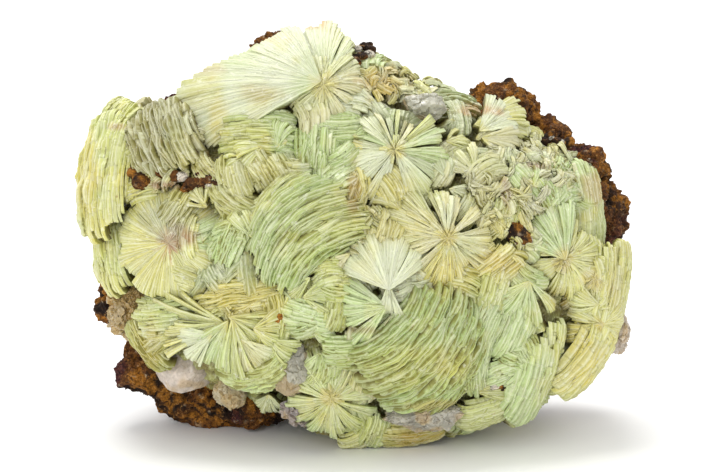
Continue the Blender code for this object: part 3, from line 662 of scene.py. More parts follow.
def rosette_plates(sheaf, rng):
    """Closed plates of a rosette or fan, which run outwards from its middle.

    A plate's crest is the origin plus its own direction times the distance, plus facing times the
    height. Every second plate starts part of the way out, as real ones fork, and a plate is up to
    four times as wide near the middle, so that no gap shows there.
    """
    origin, facing, ahead, side = sheaf_axes(sheaf)
    radius, petals, relief = sheaf["radius"], sheaf["petals"], sheaf["relief"]
    spread = 2.0 * math.radians(sheaf["spread"])
    count = max(FEWEST_PLATES, int(spread * radius * np.mean(sheaf["reach"]) / sheaf["pitch"]))
    petal, within, turns, widths = petal_layout(sheaf, count, rng)
    steps = int(np.clip(radius / PLATE_STEP, *ROSETTE_STEPS))
    order = np.arange(count)
    start = np.array(FORK_STARTS)[order % 4]
    start = (start + np.where(order % 2 == 1, rng.uniform(*FORK_SHIFT, count), 0.0))[:, None]
    share = np.linspace(0.004, 1.0, steps)[None, :]
    distance = radius * rosette_reach(sheaf, petal, within, rng)[:, None] * share
    height = rosette_height(sheaf, petal, within, start, share, distance, rng)

    angle = turns[:, None] + swing(rng, PETAL_BEND, petals)[petal][:, None] * np.sin(3.0 * share)
    cosine, sine = np.cos(angle)[..., None], np.sin(angle)[..., None]
    radial = cosine * ahead + sine * side
    cross = cosine * side - sine * ahead
    crest = origin + radial * distance[..., None] + facing * height[..., None]
    outward = unit(facing + radial * (0.15 * share + 0.75 * share ** 6)[..., None])
    forked = 4.0 - smooth_step(0.30, 0.46, share) - 2.0 * smooth_step(0.12, 0.2, share)
    pitch = spread * distance / count
    half = 0.5 * pitch * widths[:, None] * (1.12 - 0.45 * sheaf["loose"]) * forked + THINNEST_HALF
    chisel = np.repeat(((0.04 + 0.12 * half) * relief)[..., None], 2, axis=-1)
    shift = np.broadcast_to(swing(rng, CREST_SHIFT, (count, 1)), half.shape)
    strand = (turns[:, None] * radius, distance, origin.sum() * STRAND_STEP)
    section, strands = sections(crest, outward, cross, half, chisel, shift,
                                min(sheaf["deep"], DEEPEST_SHARE * radius), strand)
    uneven_share = share + swing(rng, 1.0, (count, 1)) * sheaf["streaks"]
    near_heart = 1.0 - smooth_step(*HEART_EDGE, uneven_share)
    colors = plate_colors(sheaf, section, petal, near_heart, rng)
    return finish_plates(section, colors, strands)


def wafer_ends(sheaf, place, split, rng):
    """Begin and end of every wafer along its dome, as shares of the half length.

    A plate is as long as the dome is wide there, by a rounded square of power 2.6. It is split at
    uneven places, and neighbours overlap a little.
    """
    count = len(place)
    outline = (1.0 - np.abs(place) ** PLAN_POWER) ** (1.0 / PLAN_POWER)
    ends = outline[:, None] * rng.uniform(*PLATE_ENDS, (count, 2))
    inner = np.linspace(-1.0, 1.0, split + 1)[1:-1] + swing(rng, CUT_SHIFT, (count, split - 1)) / split
    cuts = np.column_stack([-ends[:, 0], inner * outline[:, None], ends[:, 1]])
    return ((cuts[:, :-1] - WAFER_OVERLAP).reshape(-1, 1), (cuts[:, 1:] + WAFER_OVERLAP).reshape(-1, 1))


def dome_plates(sheaf, rng):
    """Closed wafers of a dome: plates side by side along its length, leaning to one side.

    The dome's height is that of a stretched ball with squarish sides: the root of one less the
    sum of both shares to the power 2.4. Every plate is broken in wafers, each with a level, a
    turn and a slope of its own, and their ends overlap.
    """
    origin, facing, ahead, side = sheaf_axes(sheaf)
    width, length = sheaf["radius"], sheaf["length"]
    loose, pitch, broken = sheaf["loose"], sheaf["pitch"], sheaf["broken"]
    count = max(3, int(2.0 * width / pitch))
    place, widths = uneven_places(count, rng)
    place = place * 2.0 - 1.0
    split = max(2, int(2.0 * length / WAFER_LENGTH))
    begin, end = wafer_ends(sheaf, place, split, rng)
    place, widths, order = (np.repeat(row, split)[:, None] for row in (place, widths, np.arange(count)))
    wafers = split * count
    steps = int(np.clip(2.2 * length / split / PLATE_STEP, *WAFER_STEPS))
    along = begin + (end - begin) * np.linspace(0.0, 1.0, steps)[None, :]
    inside = 1.0 - np.abs(along / 1.1) ** DOME_POWER - np.abs(place / 1.04) ** DOME_POWER
    rise = DOME_HEIGHT * width * np.sqrt(np.maximum(inside, 0.02)) - DOME_SINK * width
    distance = along * length
    from_middle = distance - distance.mean(axis=1, keepdims=True)

    level = swing(rng, 1.0, (wafers, 1)) * (0.13 * broken + 0.5 * loose)
    level = level + swing(rng, 1.0, (wafers, 1)) * WAFER_SLOPE * broken * from_middle
    level = level + min(0.22 * width, 2.0) * (noise_rows(distance, order * 0.10, 5.0, 75) - 0.5)
    level = level + swing(rng, 1.0, (wafers, steps)) * SERRATION
    level = level - (rng.uniform(0.0, 1.0, (wafers, 1)) < sheaf["torn"]) * (0.4 + 0.8 * loose)
    level[:, [0, -1]] -= END_DROP
    sideways = place * width * (1.0 + sheaf["flare"] * along) + sheaf["bend"] * length * along ** 2
    sideways = sideways + WAVE * (noise_rows(distance, order, 2.2, 74) - 0.5)
    sideways = sideways + swing(rng, WAFER_TURN, (wafers, 1)) * broken * from_middle
    tilt = sheaf["lean"] + sheaf["splay"] * place + swing(rng, WAFER_TILT, (wafers, 1))

    facing_side = np.cos(tilt)[..., None] * facing + np.sin(tilt)[..., None] * side
    outward = unit(facing_side + ahead * (0.5 * along)[..., None])
    middle = origin + ahead * distance[..., None] + side * sideways[..., None]
    crest = middle + facing * rise[..., None] + outward * level[..., None]
    cross = np.broadcast_to(np.cross(facing_side, ahead), crest.shape)
    half = np.broadcast_to(0.5 * pitch * widths * (1.6 - 0.7 * loose), crest.shape[:2])
    flanks = np.array([SLIGHT_FLANK, STEEP_FLANK]) * pitch
    leans_right = sheaf["lean"] > 0.0
    shift = np.full(half.shape, -0.5 if leans_right else 0.5)
    chisel = np.broadcast_to(flanks if leans_right else flanks[::-1], half.shape + (2,))
    strand = (place * width, distance, origin.sum() * STRAND_STEP)
    section, strands = sections(crest, outward, cross, half, chisel, shift,
                                min(sheaf["deep"], DEEPEST_SHARE * width), strand)
    colors = plate_colors(sheaf, section, order[:, 0] // 4, np.zeros((wafers, steps)), rng)
    return finish_plates(section, colors, strands)


def sections(crest, outward, cross, half, chisel, shift, deep, strand):
    """Section of five points at every crest point: foot, shoulder, crest, shoulder, foot.

    Shoulders stand half a plate to each side and a chisel lower, feet a depth below the crest.
    Also returns the strand coordinates: across the plates, along them, and the sheaf's number.
    """
    half = half[..., None]
    section = np.stack([
        crest - cross * half * FOOT_SHARE - outward * deep,
        crest - cross * half - outward * chisel[..., :1],
        crest + cross * half * shift[..., None],
        crest + cross * half - outward * chisel[..., 1:],
        crest + cross * half * FOOT_SHARE - outward * deep,
    ], axis=2)
    across = np.asarray(strand[0])[..., None] + np.array([-0.8, -1.0, 0.0, 1.0, 0.8]) * half
    strands = np.stack(np.broadcast_arrays(across, strand[1][..., None], strand[2]), axis=-1)
    return section, strands


def sweep_faces(count, steps):
    """Quads round and along every plate, and a quad and a triangle on each end."""
    index = np.arange(count * steps * 5).reshape(count, steps, 5)
    here = index[:, :-1]
    after = index[:, 1:]
    around = np.roll(here, -1, axis=2)
    around_after = np.roll(after, -1, axis=2)
    walls = np.stack([here, after, around_after, around], axis=-1).reshape(-1, 4)
    first, last = index[:, 0], index[:, -1]
    caps = np.concatenate([first[:, [0, 1, 3, 4]], last[:, [4, 3, 1, 0]]])
    tips = np.concatenate([first[:, [1, 2, 3]], last[:, [3, 2, 1]]])
    return [walls, caps, tips]


def finish_plates(section, colors, strands):
    """Part of all plates: points above the floor, faces, colours and strands as flat arrays."""
    count, steps = section.shape[:2]
    points = above_floor(section.reshape(-1, 3) * MM)
    return points, sweep_faces(count, steps), colors.reshape(-1, 4), strands.reshape(-1, 3)


def plate_colors(sheaf, section, group, near_heart, rng):
    """Linear colour of every point, with the depth below its crest from 0 to 1 as fourth number: the
    material paints a highlight where it is low and shade where it is high.

    The heart's colour lies near the middle and the tint outside it. Broad noise over the whole
    stone mixes in yellow stain and green, the same across neighbouring sheaves; every group of
    plates and every plate is a little lighter or darker.
    """
    count, steps = section.shape[:2]
    tint = linear(PALETTE[sheaf["tint"]]) + np.zeros((count, steps, 5, 3))
    color = blend(tint, sheaf["heart"], near_heart[..., None] * HEART_SHARE)
    stain = patches(section, 13.0, 5, 0.46, 0.76, 0.50) + patches(section, 3.6, 9, 0.58, 0.80, 0.25)
    color = blend(color, "stain", stain)
    color = blend(color, "green", patches(section, 9.0, 15, 0.55, 0.8, 0.35))
    color = blend(stained(color, section), "ochre", ochre_share(section))
    frost = rng.uniform(0.0, 1.0, count)[:, None, None] ** 3 * sheaf["chips"]
    color = blend(color, "frost", frost)
    shade = 1.0 + swing(rng, 0.06, group.max() + 1)[group] + rng.uniform(-0.10, 0.08, count)
    color *= STONE_BRIGHTNESS * shade[:, None, None, None]
    # Depth number per point: crests at 0 get a painted highlight, feet at 1 painted shade, and open
    # shoulders a painted shade line
    seam = np.where(rng.uniform(0.0, 1.0, count) < sheaf["seams"], OPEN_SEAM_SHADE, CLOSED_SEAM_SHADE)[:, None, None]
    depth = np.array([1.0, 0.0, 0.0, 0.0, 1.0]) + np.array([0.0, 1.0, 0.0, 1.0, 0.0]) * seam
    return np.concatenate([color, np.broadcast_to(depth, (count, steps, 5))[..., None]], axis=-1)


def stained(color, points):
    """Colour with the listed stains mixed in: each fades to nothing at a noisy oval's edge."""
    across, up, _ = in_view(points)
    ragged = 0.8 * (noise(points, 1.6, 33) - 0.5) + 0.6 * (noise(points, 4.0, 34) - 0.5)
    for place_across, place_up, half_across, half_up, code, most in STAINS:
        away = np.hypot((across - place_across) / half_across, (up - place_up) / half_up)
        if away.min() < STAIN_LIMIT:
            color = blend(color, code, most * smooth_step(1.25, 0.45, away + ragged))
    return color


def ochre_share(points):
    """Share of ochre stain: more where a point lies below the body's smooth front, in patches."""
    across, up, out = in_view(points)
    sunken = smooth_step(-0.6, 2.0, surface_out(across, up) - out)
    return sunken * (0.20 + patches(points, 5.0, 24, 0.35, 0.65, 0.50))


def plain_part(points, faces, color, depth=0.0):
    """Part that has no plates: one depth all over, the number that the prehnite material paints its
    highlight and shade by, and strands that follow its own places.
    """
    depths = np.full((len(points), 1), depth)
    return points, faces, np.hstack([color, depths]), points / MM


def add_mesh(name, parts, material):
    """One object of flat faces from a list of parts: points, face arrays, colours and strands."""
    points, colors, strands = (np.concatenate([part[slot] for part in parts]) for slot in (0, 2, 3))
    loops = []
    totals = []
    start = 0
    for part in parts:
        for group in part[1]:
            loops.append((group + start).ravel())
            totals.append(np.full(len(group), group.shape[1]))
        start += len(part[0])
    loops = np.concatenate(loops)
    totals = np.concatenate(totals)
    mesh = bpy.data.meshes.new(name)
    mesh.vertices.add(len(points))
    mesh.vertices.foreach_set("co", points.ravel())
    mesh.loops.add(len(loops))
    mesh.loops.foreach_set("vertex_index", loops)
    mesh.polygons.add(len(totals))
    mesh.polygons.foreach_set("loop_start", np.cumsum(totals) - totals)
    mesh.polygons.foreach_set("loop_total", totals)
    mesh.update(calc_edges=True)
    mesh.polygons.foreach_set("use_smooth", np.zeros(len(totals), dtype=bool))
    layer = mesh.color_attributes.new("tint", "FLOAT_COLOR", "POINT")
    layer.data.foreach_set("color", colors.ravel())
    mesh.attributes.new("strand", "FLOAT_VECTOR", "POINT").data.foreach_set("vector", strands.ravel())
    mesh.materials.append(material)
    piece = bpy.data.objects.new(name, mesh)
    bpy.context.scene.collection.objects.link(piece)
    return piece


def grid_faces(rows, columns):
    """Quads of a grid that is closed round its columns, with a triangle ring at each end point."""
    index = np.arange(rows * columns).reshape(rows, columns)
    around = np.roll(index, -1, axis=1)
    quads = np.stack([index[:-1], index[1:], around[1:], around[:-1]], axis=-1).reshape(-1, 4)
    first, last = rows * columns, rows * columns + 1
    top = np.stack([np.full(columns, first), index[0], around[0]], axis=-1)
    bottom = np.stack([np.full(columns, last), around[-1], index[-1]], axis=-1)
    return [quads, np.concatenate([top, bottom])]


def grid_directions(tilt, columns):
    """Directions of a grid over a ball, a row for each tilt from the first pole, poles last."""
    tilts = np.append(np.repeat(tilt, columns), [0.0, math.pi])
    turns = np.append(np.tile(2.0 * np.pi * np.arange(columns) / columns, len(tilt)), [0.0, 0.0])
    across = np.sin(tilts) * np.cos(turns)
    return np.column_stack([across, np.sin(tilts) * np.sin(turns), np.cos(tilts)]), tilts, turns


def lump(place, half_sizes, rows, columns):
    """Places and outward directions over a stretched ball in the view frame."""
    directions, _, _ = grid_directions(np.pi * (np.arange(rows) + 1.0) / (rows + 1.0), columns)
    half = np.array(half_sizes)
    return np.array(place) + directions * half, unit(directions / half), grid_faces(rows, columns)


def drum(shrink, middle_out, half_depth, boxy, rows, columns):
    """Places on a drum inside the rim, with its rows at even steps along its outline.

    The drum's share of the reach is the sine of a tilt to the power boxy and its share of the
    half depth the cosine to the same power; the tilts are read off the outline's running length.
    """
    dense = np.linspace(0.0, math.pi, OUTLINE_POINTS)
    flat = np.sin(dense) ** boxy * MEAN_REACH
    deep = np.sign(np.cos(dense)) * np.abs(np.cos(dense)) ** boxy * half_depth
    run = np.concatenate([[0.0], np.cumsum(np.hypot(np.diff(flat), np.diff(deep)))])
    tilt = np.interp(run[-1] * (np.arange(rows) + 1.0) / (rows + 1.0), run, dense)
    directions, tilts, turns = grid_directions(tilt, columns)
    reach = rim_reach(turns) * shrink * np.abs(np.sin(tilts)) ** boxy
    out = middle_out + np.sign(np.cos(tilts)) * np.abs(np.cos(tilts)) ** boxy * half_depth
    places = np.column_stack([np.cos(turns) * reach, MIDDLE_UP + np.sin(turns) * reach, out])
    return places, directions, grid_faces(rows, columns)


def rock_colors(places, block):
    """Linear rock colour: blocks and noise patches of near black, rust, ochre, purple and pale grit."""
    color = linear(ROCK_DARK) + np.zeros(places.shape)
    color = blend(color, ROCK_RUST, smooth_step(0.36, 0.64, noise(places, 8.0, 40) + 0.10 * block))
    fine = noise(places, 1.8, 41) * 0.6 + noise(places, 6.0, 44) * 0.4
    color = blend(color, ROCK_OCHRE, smooth_step(0.52, 0.66, fine) * 0.75)
    color = blend(color, ROCK_PURPLE, patches(places, 7.5, 42, 0.72, 0.82, 0.8))
    return blend(color, ROCK_GRIT, patches(places, 0.9, 43, 0.84, 0.90, 0.6))


def rock_part(surface, strength, seed, white=0.0):
    """Rock: places moved outward by sharp crags and by the steps of broken blocks of two sizes."""
    places, outward, faces = surface
    jagged = crags(places, 5.0, 4, seed) * CRAG_HEIGHT
    rough = fractal(places, 9.0, 2, seed + 20) * 2.0
    small_block = nearest_block(places, 1.7, 31)
    shift = strength * (jagged + rough + 0.8 * nearest_block(places, 4.5, 21) + 0.5 * small_block)
    points = above_floor(to_world(places + outward * shift[:, None]))
    color = blend(rock_colors(places, small_block), WHITE_QUARTZ, np.full(len(places), white))
    return plain_part(points, faces, color)


def rust_crumbs(rng):
    """Crumbs of rust, and a few of white quartz, strewn over each rust patch of the front."""
    crumbs = []
    for across, up, half_across, half_up in RUST_PATCHES:
        for number in range(CRUMBS_PER_PATCH):
            aside, higher = rng.normal(0.0, 0.5, 2)
            at = (across + half_across * aside, up + half_up * higher)
            out = float(surface_out(*at)) + rng.uniform(0.4, 1.6)
            size = rng.uniform(0.5, 1.0) * min(half_across, half_up) * 0.75
            surface = lump((*at, out), (size * 1.3, size, size * 1.3), *CRUMB_GRID)
            crumbs.append(rock_part(surface, 0.28, 80 + number, 0.85 if number % 5 == 4 else 0.0))
    return crumbs


def build_rock(material):
    """Slab across the back, the knobs and ledges at the rim, and rust that shows in the prehnite."""
    slab = drum(SLAB_SHRINK, SLAB_OUT, SLAB_HALF_DEPTH, SLAB_BOXINESS, *SLAB_GRID)
    groups = [[rock_part(slab, 0.9, 3)], [], []]
    for index, (place, half_sizes) in enumerate(ROCK_LUMPS):
        surface = lump(place, half_sizes, *LUMP_GRID)
        groups[1 + index % 2].append(rock_part(surface, 1.0, 50 + index))
    groups[2] += rust_crumbs(np.random.default_rng(8))
    for number, group in enumerate(groups):
        rock = add_mesh("rock_%d" % number, group, material)
        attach(rock, "root")
        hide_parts("matrix")


def build_quartz(name, place, half_sizes, code, roughness, seed, material):
    """Angular grain: a ball cut by random planes, radius the nearest plane distance."""
    rng = np.random.default_rng(seed)
    directions, _, faces = lump((0.0, 0.0, 0.0), (1.0, 1.0, 1.0), *QUARTZ_GRID)
    planes = unit(rng.normal(size=(QUARTZ_PLANES, 3)))
    distance = rng.uniform(0.80, 1.0, QUARTZ_PLANES)
    radius = (distance / np.maximum(directions @ planes.T, 0.05)).min(axis=1)
    radius = np.minimum(radius, QUARTZ_LIMIT)
    places = np.array(place) + directions * radius[:, None] * np.array(half_sizes)
    broken = roughness * (nearest_block(places, 1.3, seed + 3) + 0.5 * noise(places, 0.8, seed) - 0.25)
    places = places + directions * broken[:, None]
    color = linear(code) * (0.8 + 0.4 * noise(places, 2.5, seed + 1))[:, None]
    color = blend(color, QUARTZ_STAIN, patches(places, 3.5, seed + 2, 0.50, 0.70, 0.45))
    grain = add_mesh(name + "_grain", [plain_part(to_world(places), faces, color)], material)
    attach(grain, "root")
    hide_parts(name)


def core_part():
    """Ground of small blocky crystals between the sheaves: blocks of two sizes on the drum."""
    places, outward, faces = drum(CORE_SHRINK, MIDDLE_OUT, BULGE * CORE_SHRINK, CORE_BOXINESS, *CORE_GRID)
    block = nearest_block(places, 2.6, 61)
    small_block = nearest_block(places, 1.2, 62)
    shift = fractal(places, 4.0, 3, 11) * 1.6 + 0.8 * block + 0.5 * small_block
    shade = np.clip(0.5 + 0.3 * block + 0.3 * small_block, 0.0, 1.0)
    color = blend(linear(CORE_DARK) + np.zeros(places.shape), CORE_PALE, shade)
    # The core's depth number makes the material paint thin lines of shade on it
    return plain_part(above_floor(to_world(places + outward * shift[:, None])), faces, color, CORE_SHADE_DEPTH)


def flower_petals():
    """One narrow fan for each petal of the flower-like rosette; the narrowest stand up from it."""
    petals = []
    for angle, spread, length, height, tint in FLOWER_PETALS:
        upright = 0.14 * (spread < 6)
        tip = (upright * math.cos(math.radians(angle)), upright * math.sin(math.radians(angle)))
        petals.append(fan(FLOWER_AT, length, angle, spread, thick=0.16, petals=1, proud=height + 0.8,
                          tint=tint, heart="yellow", gap=0.0, calm=1.6, droop=0.014, pitch=0.8,
                          relief=0.8, tip=tip))
    return petals


def heart_crystals(rng):
    """Short yellow needles that bristle in the middle of the furry rosettes and of the flower."""
    hearts = [(sheaf["at"], sheaf["proud"] + 0.6 * sheaf["length"]) for sheaf in SHEAVES if sheaf["furry"]]
    hearts.append((FLOWER_AT, FLOWER_HEART_PROUD))
    needles = []
    for (across, up), proud in hearts:
        for _ in range(HEART_NEEDLES):
            turn = rng.uniform(0.0, 2.0 * math.pi)
            away = rng.uniform(0.1, 1.5)
            beside, above = math.cos(turn), math.sin(turn)
            needles.append(fan((across + away * beside, up + away * above), rng.uniform(1.2, 2.6),
                               math.degrees(turn), 12.0, petals=1, thick=0.2, proud=proud - 0.2 * away,
                               pitch=0.3, tip=(-0.9 * beside, -0.9 * above), gap=0.0,
                               tint=("yellow", "cream", "pale_yellow")[len(needles) % 3], heart="yellow"))
    return needles


def jumbled_slats(rng):
    """Small packs of slats inside the ovals where the stone is a jumble; neighbours lie alike."""
    slats = []
    for (across, up), (half_across, half_up), count, own_tint in JUMBLES:
        turn = rng.uniform(0.0, 2.0 * math.pi, count)
        out = np.sqrt(rng.uniform(0.0, 1.0, count))
        places = np.column_stack([across + half_across * out * np.cos(turn),
                                  up + half_up * out * np.sin(turn), np.zeros(count)])
        angles = 360.0 * noise(places, 6.0, 51) - 215.0 + swing(rng, 35.0, count)
        for place, angle in zip(places, angles):
            tint = ("cream", own_tint, "grey_mint", own_tint)[len(slats) % 4]
            slats.append(dome((place[0], place[1]), rng.uniform(0.8, 1.7), rng.uniform(1.5, 3.6), angle,
                              proud=rng.uniform(1.0, 3.2), pitch=0.55, loose=0.35, tint=tint,
                              lean=swing(rng, 0.7), bend=swing(rng, 0.4), tip=tuple(swing(rng, 0.35, 2))))
    return slats


def is_bare(at):
    """Whether a place of the front lies over a quartz grain or a rust patch."""
    ovals = [(*place[:2], *half[:2], QUARTZ_MARGIN) for _, place, half, _, _ in QUARTZ_GRAINS]
    ovals += [(*patch, RUST_MARGIN) for patch in RUST_PATCHES]
    return any(math.hypot((at[0] - across) / (half_across + margin), (at[1] - up) / (half_up + margin))
               < 1.0 for across, up, half_across, half_up, margin in ovals)


def filling_sheaves(rng):
    """Low small sheaves over the front and side of the body, coloured as the nearest large one."""
    fillers = []
    places = np.array([sheaf["at"] for sheaf in SHEAVES])
    for index in range(FILLER_COUNT):
        turn = swing(rng, math.pi)
        out = rng.uniform(0.0, 1.0) ** 0.5 * FILLER_REACH
        reach = float(rim_reach(turn)) * out
        at = place_round(reach, turn)
        if is_bare(at):
            continue
        nearest = SHEAVES[int(np.argmin(np.hypot(*(places - np.array(at)).T)))]
        tint = nearest["tint"]
        if index % 2:
            fillers.append(dome(at, rng.uniform(2.6, 4.6), rng.uniform(3.4, 6.5), rng.uniform(0.0, 360.0),
                                tint=tint, proud=rng.uniform(0.0, 1.6), loose=0.15,
                                lean=swing(rng, 0.6), bend=swing(rng, 0.3)))
        else:
            fillers.append(fan(at, rng.uniform(4.0, 7.0), rng.uniform(0.0, 360.0), rng.uniform(20.0, 60.0),
                               thick=0.4, petals=3, proud=rng.uniform(0.0, 1.6), tint=tint, loose=0.15,
                               tip=tuple(swing(rng, 0.5, 2))))
    return fillers


def side_sheaves(rng):
    """Domes all round the side of the body in two rows, one before and one behind its widest line."""
    sides = []
    for index in range(SIDE_COUNT):
        turn = 2.0 * math.pi * (index + swing(rng, 0.3)) / SIDE_COUNT
        shrink, out_range = SIDE_ROWS[index % 2]
        across, up = place_round(float(rim_reach(turn)) * shrink, turn)
        if is_bare((across, up)) and index % 2 == 0:
            continue
        facing = unit(toward(turn))
        out = MIDDLE_OUT + rng.uniform(*out_range)
        ahead = unit(OUT + facing * swing(rng, 0.2) + np.cross(facing, OUT) * swing(rng, 1.2))
        ahead = unit(ahead - facing * ahead.dot(facing))
        tint = SIDE_TINTS[index // 2 % 4]
        side = dome((across, up), rng.uniform(5.0, 8.0), rng.uniform(6.0, 9.5), 0.0, tint=tint, pitch=1.05,
                    lean=swing(rng, 0.4), bend=swing(rng, 0.25))
        side["axes"] = (to_world((across, up, out)) / MM, facing, ahead, np.cross(facing, ahead))
        sides.append(side)
    return sides


def all_sheaves(rng):
    """Every sheaf of the stone, large ones first."""
    return (SHEAVES + flower_petals() + heart_crystals(rng) + jumbled_slats(rng) + filling_sheaves(rng)
            + side_sheaves(rng))


def build_prehnite(material):
    """Core and all sheaves, put together in pieces that each stay under the face limit."""
    rng = np.random.default_rng(17)
    parts = [core_part()]
    for sheaf in all_sheaves(rng):
        make_plates = dome_plates if sheaf["kind"] == "dome" else rosette_plates
        parts.append(make_plates(sheaf, rng))
    groups = [[]]
    filled = 0
    for part in parts:
        size = sum(len(faces) * (faces.shape[1] - 2) for faces in part[1])
        if filled + size > FACE_LIMIT:
            groups.append([])
            filled = 0
        groups[-1].append(part)
        filled += size
    for number, group in enumerate(groups):
        piece = add_mesh("prehnite_plates_%d" % number, group, material)
        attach(piece, "root")
        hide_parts("prehnite")


def add_node(tree, kind, settings=None, values=None, links=None):
    """A shader node with its settings, input values and links (input name to source socket)."""
    node = tree.nodes.new(kind)
    for key, value in (settings or {}).items():
        setattr(node, key, value)
    for key, value in (values or {}).items():
        node.inputs[key].default_value = value
    for key, source in (links or {}).items():
        tree.links.new(source, node.inputs[key])
    return node


def new_material(name, values):
    """Material with a main shader; returns it, its node tree and the shader."""
    material = bpy.data.materials.new(name)
    material.use_nodes = True
    tree = material.node_tree
    shader = tree.nodes["Principled BSDF"]
    for key, value in values.items():
        shader.inputs[key].default_value = value
    return material, tree, shader


def laid_over(tree, color, layers):
    """Colour with each layer laid over the ones before it.

    A layer is its source, the source's values where it starts and where it is full, its share
    there, its sRGB colour, and None or a socket that its share is multiplied by. Between the two
    values the share follows an S curve.
    """
    for source, low, high, most, code, within in layers:
        curve = add_node(tree, "ShaderNodeMapRange", {"interpolation_type": "SMOOTHSTEP"},
                         {"From Min": low, "From Max": high, "To Min": 0.0, "To Max": most},
                         {"Value": source})
        share = curve.outputs["Result"]
        if within is not None:
            both = add_node(tree, "ShaderNodeMath", {"operation": "MULTIPLY"}, links={0: within, 1: share})
            share = both.outputs["Value"]
        mix = add_node(tree, "ShaderNodeMix", {"data_type": "RGBA"},
                       {MIX_SECOND: (*linear(code), 1.0)}, {MIX_SHARE: share, MIX_FIRST: color})
        color = mix.outputs[MIX_RESULT]
    return color


def grainy(tree, shader, grain_size, grain_share, bump_size, bump_depth):
    """Colour of the tint attribute times fine noise, and a fine bump; sizes in millimetres."""
    tint = add_node(tree, "ShaderNodeAttribute", {"attribute_name": "tint"})
    place = add_node(tree, "ShaderNodeTexCoord").outputs["Object"]
    grain = add_node(tree, "ShaderNodeTexNoise", values={"Scale": 1.0 / (grain_size * MM), "Detail": 4.0},
                     links={"Vector": place})
    level = add_node(tree, "ShaderNodeMapRange", values={"From Min": 0.3, "From Max": 0.7,
                     "To Min": 1.0 - grain_share, "To Max": 1.0 + grain_share * 0.5},
                     links={"Value": grain.outputs["Fac"]})
    color = add_node(tree, "ShaderNodeVectorMath", {"operation": "SCALE"},
                     links={0: tint.outputs["Color"], "Scale": level.outputs["Result"]})
    rough = add_node(tree, "ShaderNodeTexNoise", values={"Scale": 1.0 / (bump_size * MM), "Detail": 5.0},
                     links={"Vector": place})
    bump = add_node(tree, "ShaderNodeBump", values={"Strength": 0.6, "Distance": bump_depth * MM},
                    links={"Height": rough.outputs["Fac"]})
    tree.links.new(bump.outputs["Normal"], shader.inputs["Normal"])
    return color.outputs["Vector"]


def prehnite_material():
    """Waxy prehnite, grown in thin plates: light sinks in a little and comes back soft.

    Fine strands run along every plate: noise stretched along it, 0.3 mm wide and 2.2 mm long. They
    dent the surface; pale frost and a painted highlight lie on the highest, painted shade in the
    lowest. Every crest gets a painted highlight, partly pale frost. A thin olive line of painted
    shade, broken by the same noise, lies where two plates meet, and the deep flanks below are painted
    dark olive as shade, dark brown in the deepest crevices. Brown dirt and white frost lie in specks
    of about 2 mm.
    """
    material, tree, shader = new_material("prehnite_waxy_plates", {
        "Roughness": 0.42, "IOR": 1.63, "Subsurface Weight": 0.2, "Subsurface Scale": 0.0006,
        "Subsurface Radius": (0.9, 1.0, 0.5)})
    tint = add_node(tree, "ShaderNodeAttribute", {"attribute_name": "tint"})
    strand = add_node(tree, "ShaderNodeAttribute", {"attribute_name": "strand"})
    stretched = add_node(tree, "ShaderNodeVectorMath", {"operation": "MULTIPLY"},
                         {1: STRANDS_PER_MM}, {0: strand.outputs["Vector"]})
    streaks = add_node(tree, "ShaderNodeTexNoise", values={"Scale": 1.0, "Detail": 5.0, "Roughness": 0.62},
                       links={"Vector": stretched.outputs["Vector"]})
    place = add_node(tree, "ShaderNodeTexCoord")
    specks = add_node(tree, "ShaderNodeTexNoise", values={"Scale": 1.0 / (2.2 * MM), "Detail": 7.0,
                      "Roughness": 0.7}, links={"Vector": place.outputs["Object"]})
    depth, streak, speck = tint.outputs["Alpha"], streaks.outputs["Fac"], specks.outputs["Fac"]
    # Share of painted shade line: full on the shoulders of plates with an open seam
    seam = add_node(tree, "ShaderNodeMapRange", {"interpolation_type": "SMOOTHSTEP"},
                    {"From Min": 0.36, "From Max": OPEN_SEAM_SHADE}, {"Value": depth}).outputs["Result"]
    color = laid_over(tree, tint.outputs["Color"], [
        # Pale frost and a painted highlight on the highest strands
        (streak, 0.50, 0.68, 0.30, "#E3E6CF", None),
        # Painted highlight along every crest, partly pale frost
        (depth, 0.16, 0.0, 0.42, "#E8E8CC", None),
        # Painted shade in the dents between strands
        (streak, 0.44, 0.32, 0.40, "#8F8C4A", None),
        # Thin line of painted shade where two plates meet, broken by the strands
        (streak, 0.60, 0.42, 0.8, PALETTE["groove"], seam),
        # Painted shade, olive, down the deep flanks between plates
        (depth, 0.52, 0.75, 0.8, PALETTE["groove"], None),
        # Painted shade, dark brown, in the deepest crevices
        (depth, 0.62, 0.95, 0.85, "#4A3614", None),
        (speck, 0.62, 0.72, 0.7, "#8A6428", None),
        (speck, 0.42, 0.32, 0.5, "#E9EAD8", None),
    ])
    tree.links.new(color, shader.inputs["Base Color"])
    bump = add_node(tree, "ShaderNodeBump", values={"Strength": 0.8, "Distance": 0.4 * MM},
                    links={"Height": streak})
    tree.links.new(bump.outputs["Normal"], shader.inputs["Normal"])
    return material


def rock_material():
    """Iron-stained rock, weathered: dull and crumbly, with dark pits and ochre powder in fine noise."""
    material, tree, shader = new_material("iron_stained_rock", {"Roughness": 0.9, "IOR": 1.35})
    color = grainy(tree, shader, grain_size=0.5, grain_share=0.6, bump_size=0.45, bump_depth=0.6)
    place = add_node(tree, "ShaderNodeTexCoord")
    pits = add_node(tree, "ShaderNodeTexNoise", values={"Scale": 1.0 / (1.1 * MM), "Detail": 6.0,
                    "Roughness": 0.75}, links={"Vector": place.outputs["Object"]}).outputs["Fac"]
    color = laid_over(tree, color, [(pits, 0.50, 0.38, 0.85, "#170C07", None),
                                    (pits, 0.56, 0.66, 0.6, "#B98A4E", None)])
    tree.links.new(color, shader.inputs["Base Color"])
    return material


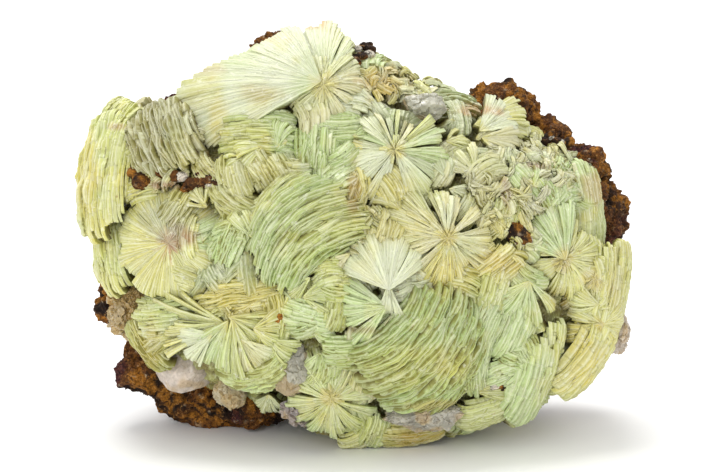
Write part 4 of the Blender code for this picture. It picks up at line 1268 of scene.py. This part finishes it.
def quartz_material():
    """Milky quartz, broken: partly see-through, glassy faces with fine frosting."""
    material, tree, shader = new_material("milky_quartz", {
        "Roughness": 0.22, "IOR": 1.54, "Transmission Weight": 0.25, "Subsurface Weight": 0.4,
        "Subsurface Scale": 0.002, "Subsurface Radius": (1.0, 0.9, 0.8)})
    color = grainy(tree, shader, grain_size=0.8, grain_share=0.2, bump_size=0.4, bump_depth=0.1)
    tree.links.new(color, shader.inputs["Base Color"])
    return material


def add_area_light(name, place, power):
    """Soft square light that faces the specimen: its turn and tilt are those of the way there."""
    data = bpy.data.lights.new(name, "AREA")
    data.size = LIGHT_SIZE
    data.energy = power
    light = bpy.data.objects.new(name, data)
    light.location = place
    way = np.array(LIT_POINT) - np.array(place)
    turn = math.atan2(way[1], way[0]) - math.pi / 2.0
    tilt = math.atan2(way[2], math.hypot(way[0], way[1])) + math.pi / 2.0
    light.rotation_euler = (tilt, 0.0, turn)
    bpy.context.scene.collection.objects.link(light)


def build_stage():
    """Pale floor, white surroundings, soft lights and the camera at the photo's viewing angle."""
    corners = [(-1, -1), (1, -1), (1, 1), (-1, 1)]
    floor_mesh = bpy.data.meshes.new("floor")
    floor_mesh.from_pydata([(FLOOR_HALF * x, FLOOR_HALF * y, 0.0) for x, y in corners], [], [(0, 1, 2, 3)])
    floor = bpy.data.objects.new("floor", floor_mesh)
    bpy.context.scene.collection.objects.link(floor)
    material, _, _ = new_material("pale_floor", {"Base Color": (*linear("#F7F7F6"), 1.0),
                                                 "Roughness": 0.6})
    floor_mesh.materials.append(material)

    world = bpy.data.worlds.new("surroundings")
    world.use_nodes = True
    background = world.node_tree.nodes["Background"]
    background.inputs["Color"].default_value = (1.0, 1.0, 1.0, 1.0)
    background.inputs["Strength"].default_value = SURROUNDINGS_STRENGTH
    bpy.context.scene.world = world
    add_area_light("key", *KEY_LIGHT)
    add_area_light("fill", *FILL_LIGHT)

    camera_data = bpy.data.cameras.new("camera")
    camera_data.lens = LENS
    camera_data.sensor_width = SENSOR
    camera_data.clip_end = 20.0
    camera = bpy.data.objects.new("camera", camera_data)
    camera.location = to_world(PICTURE_MIDDLE) + OUT * PICTURE_WIDTH * LENS / SENSOR
    camera.rotation_euler = (math.pi / 2.0 - VIEW_DOWN, 0.0, 0.0)
    bpy.context.scene.collection.objects.link(camera)
    bpy.context.scene.camera = camera
    bpy.context.scene.view_settings.view_transform = "Standard"


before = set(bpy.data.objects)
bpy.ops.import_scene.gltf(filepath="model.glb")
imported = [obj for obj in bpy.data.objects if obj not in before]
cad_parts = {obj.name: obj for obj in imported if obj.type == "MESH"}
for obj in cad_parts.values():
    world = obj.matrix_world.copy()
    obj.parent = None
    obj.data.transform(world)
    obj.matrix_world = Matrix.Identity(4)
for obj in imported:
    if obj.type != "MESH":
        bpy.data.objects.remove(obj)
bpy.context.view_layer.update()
build_stage()
build_prehnite(prehnite_material())
build_rock(rock_material())
quartz = quartz_material()
for number, (name, place, half_sizes, code, roughness) in enumerate(QUARTZ_GRAINS):
    build_quartz(name, place, half_sizes, code, roughness, QUARTZ_SEED + number, quartz)
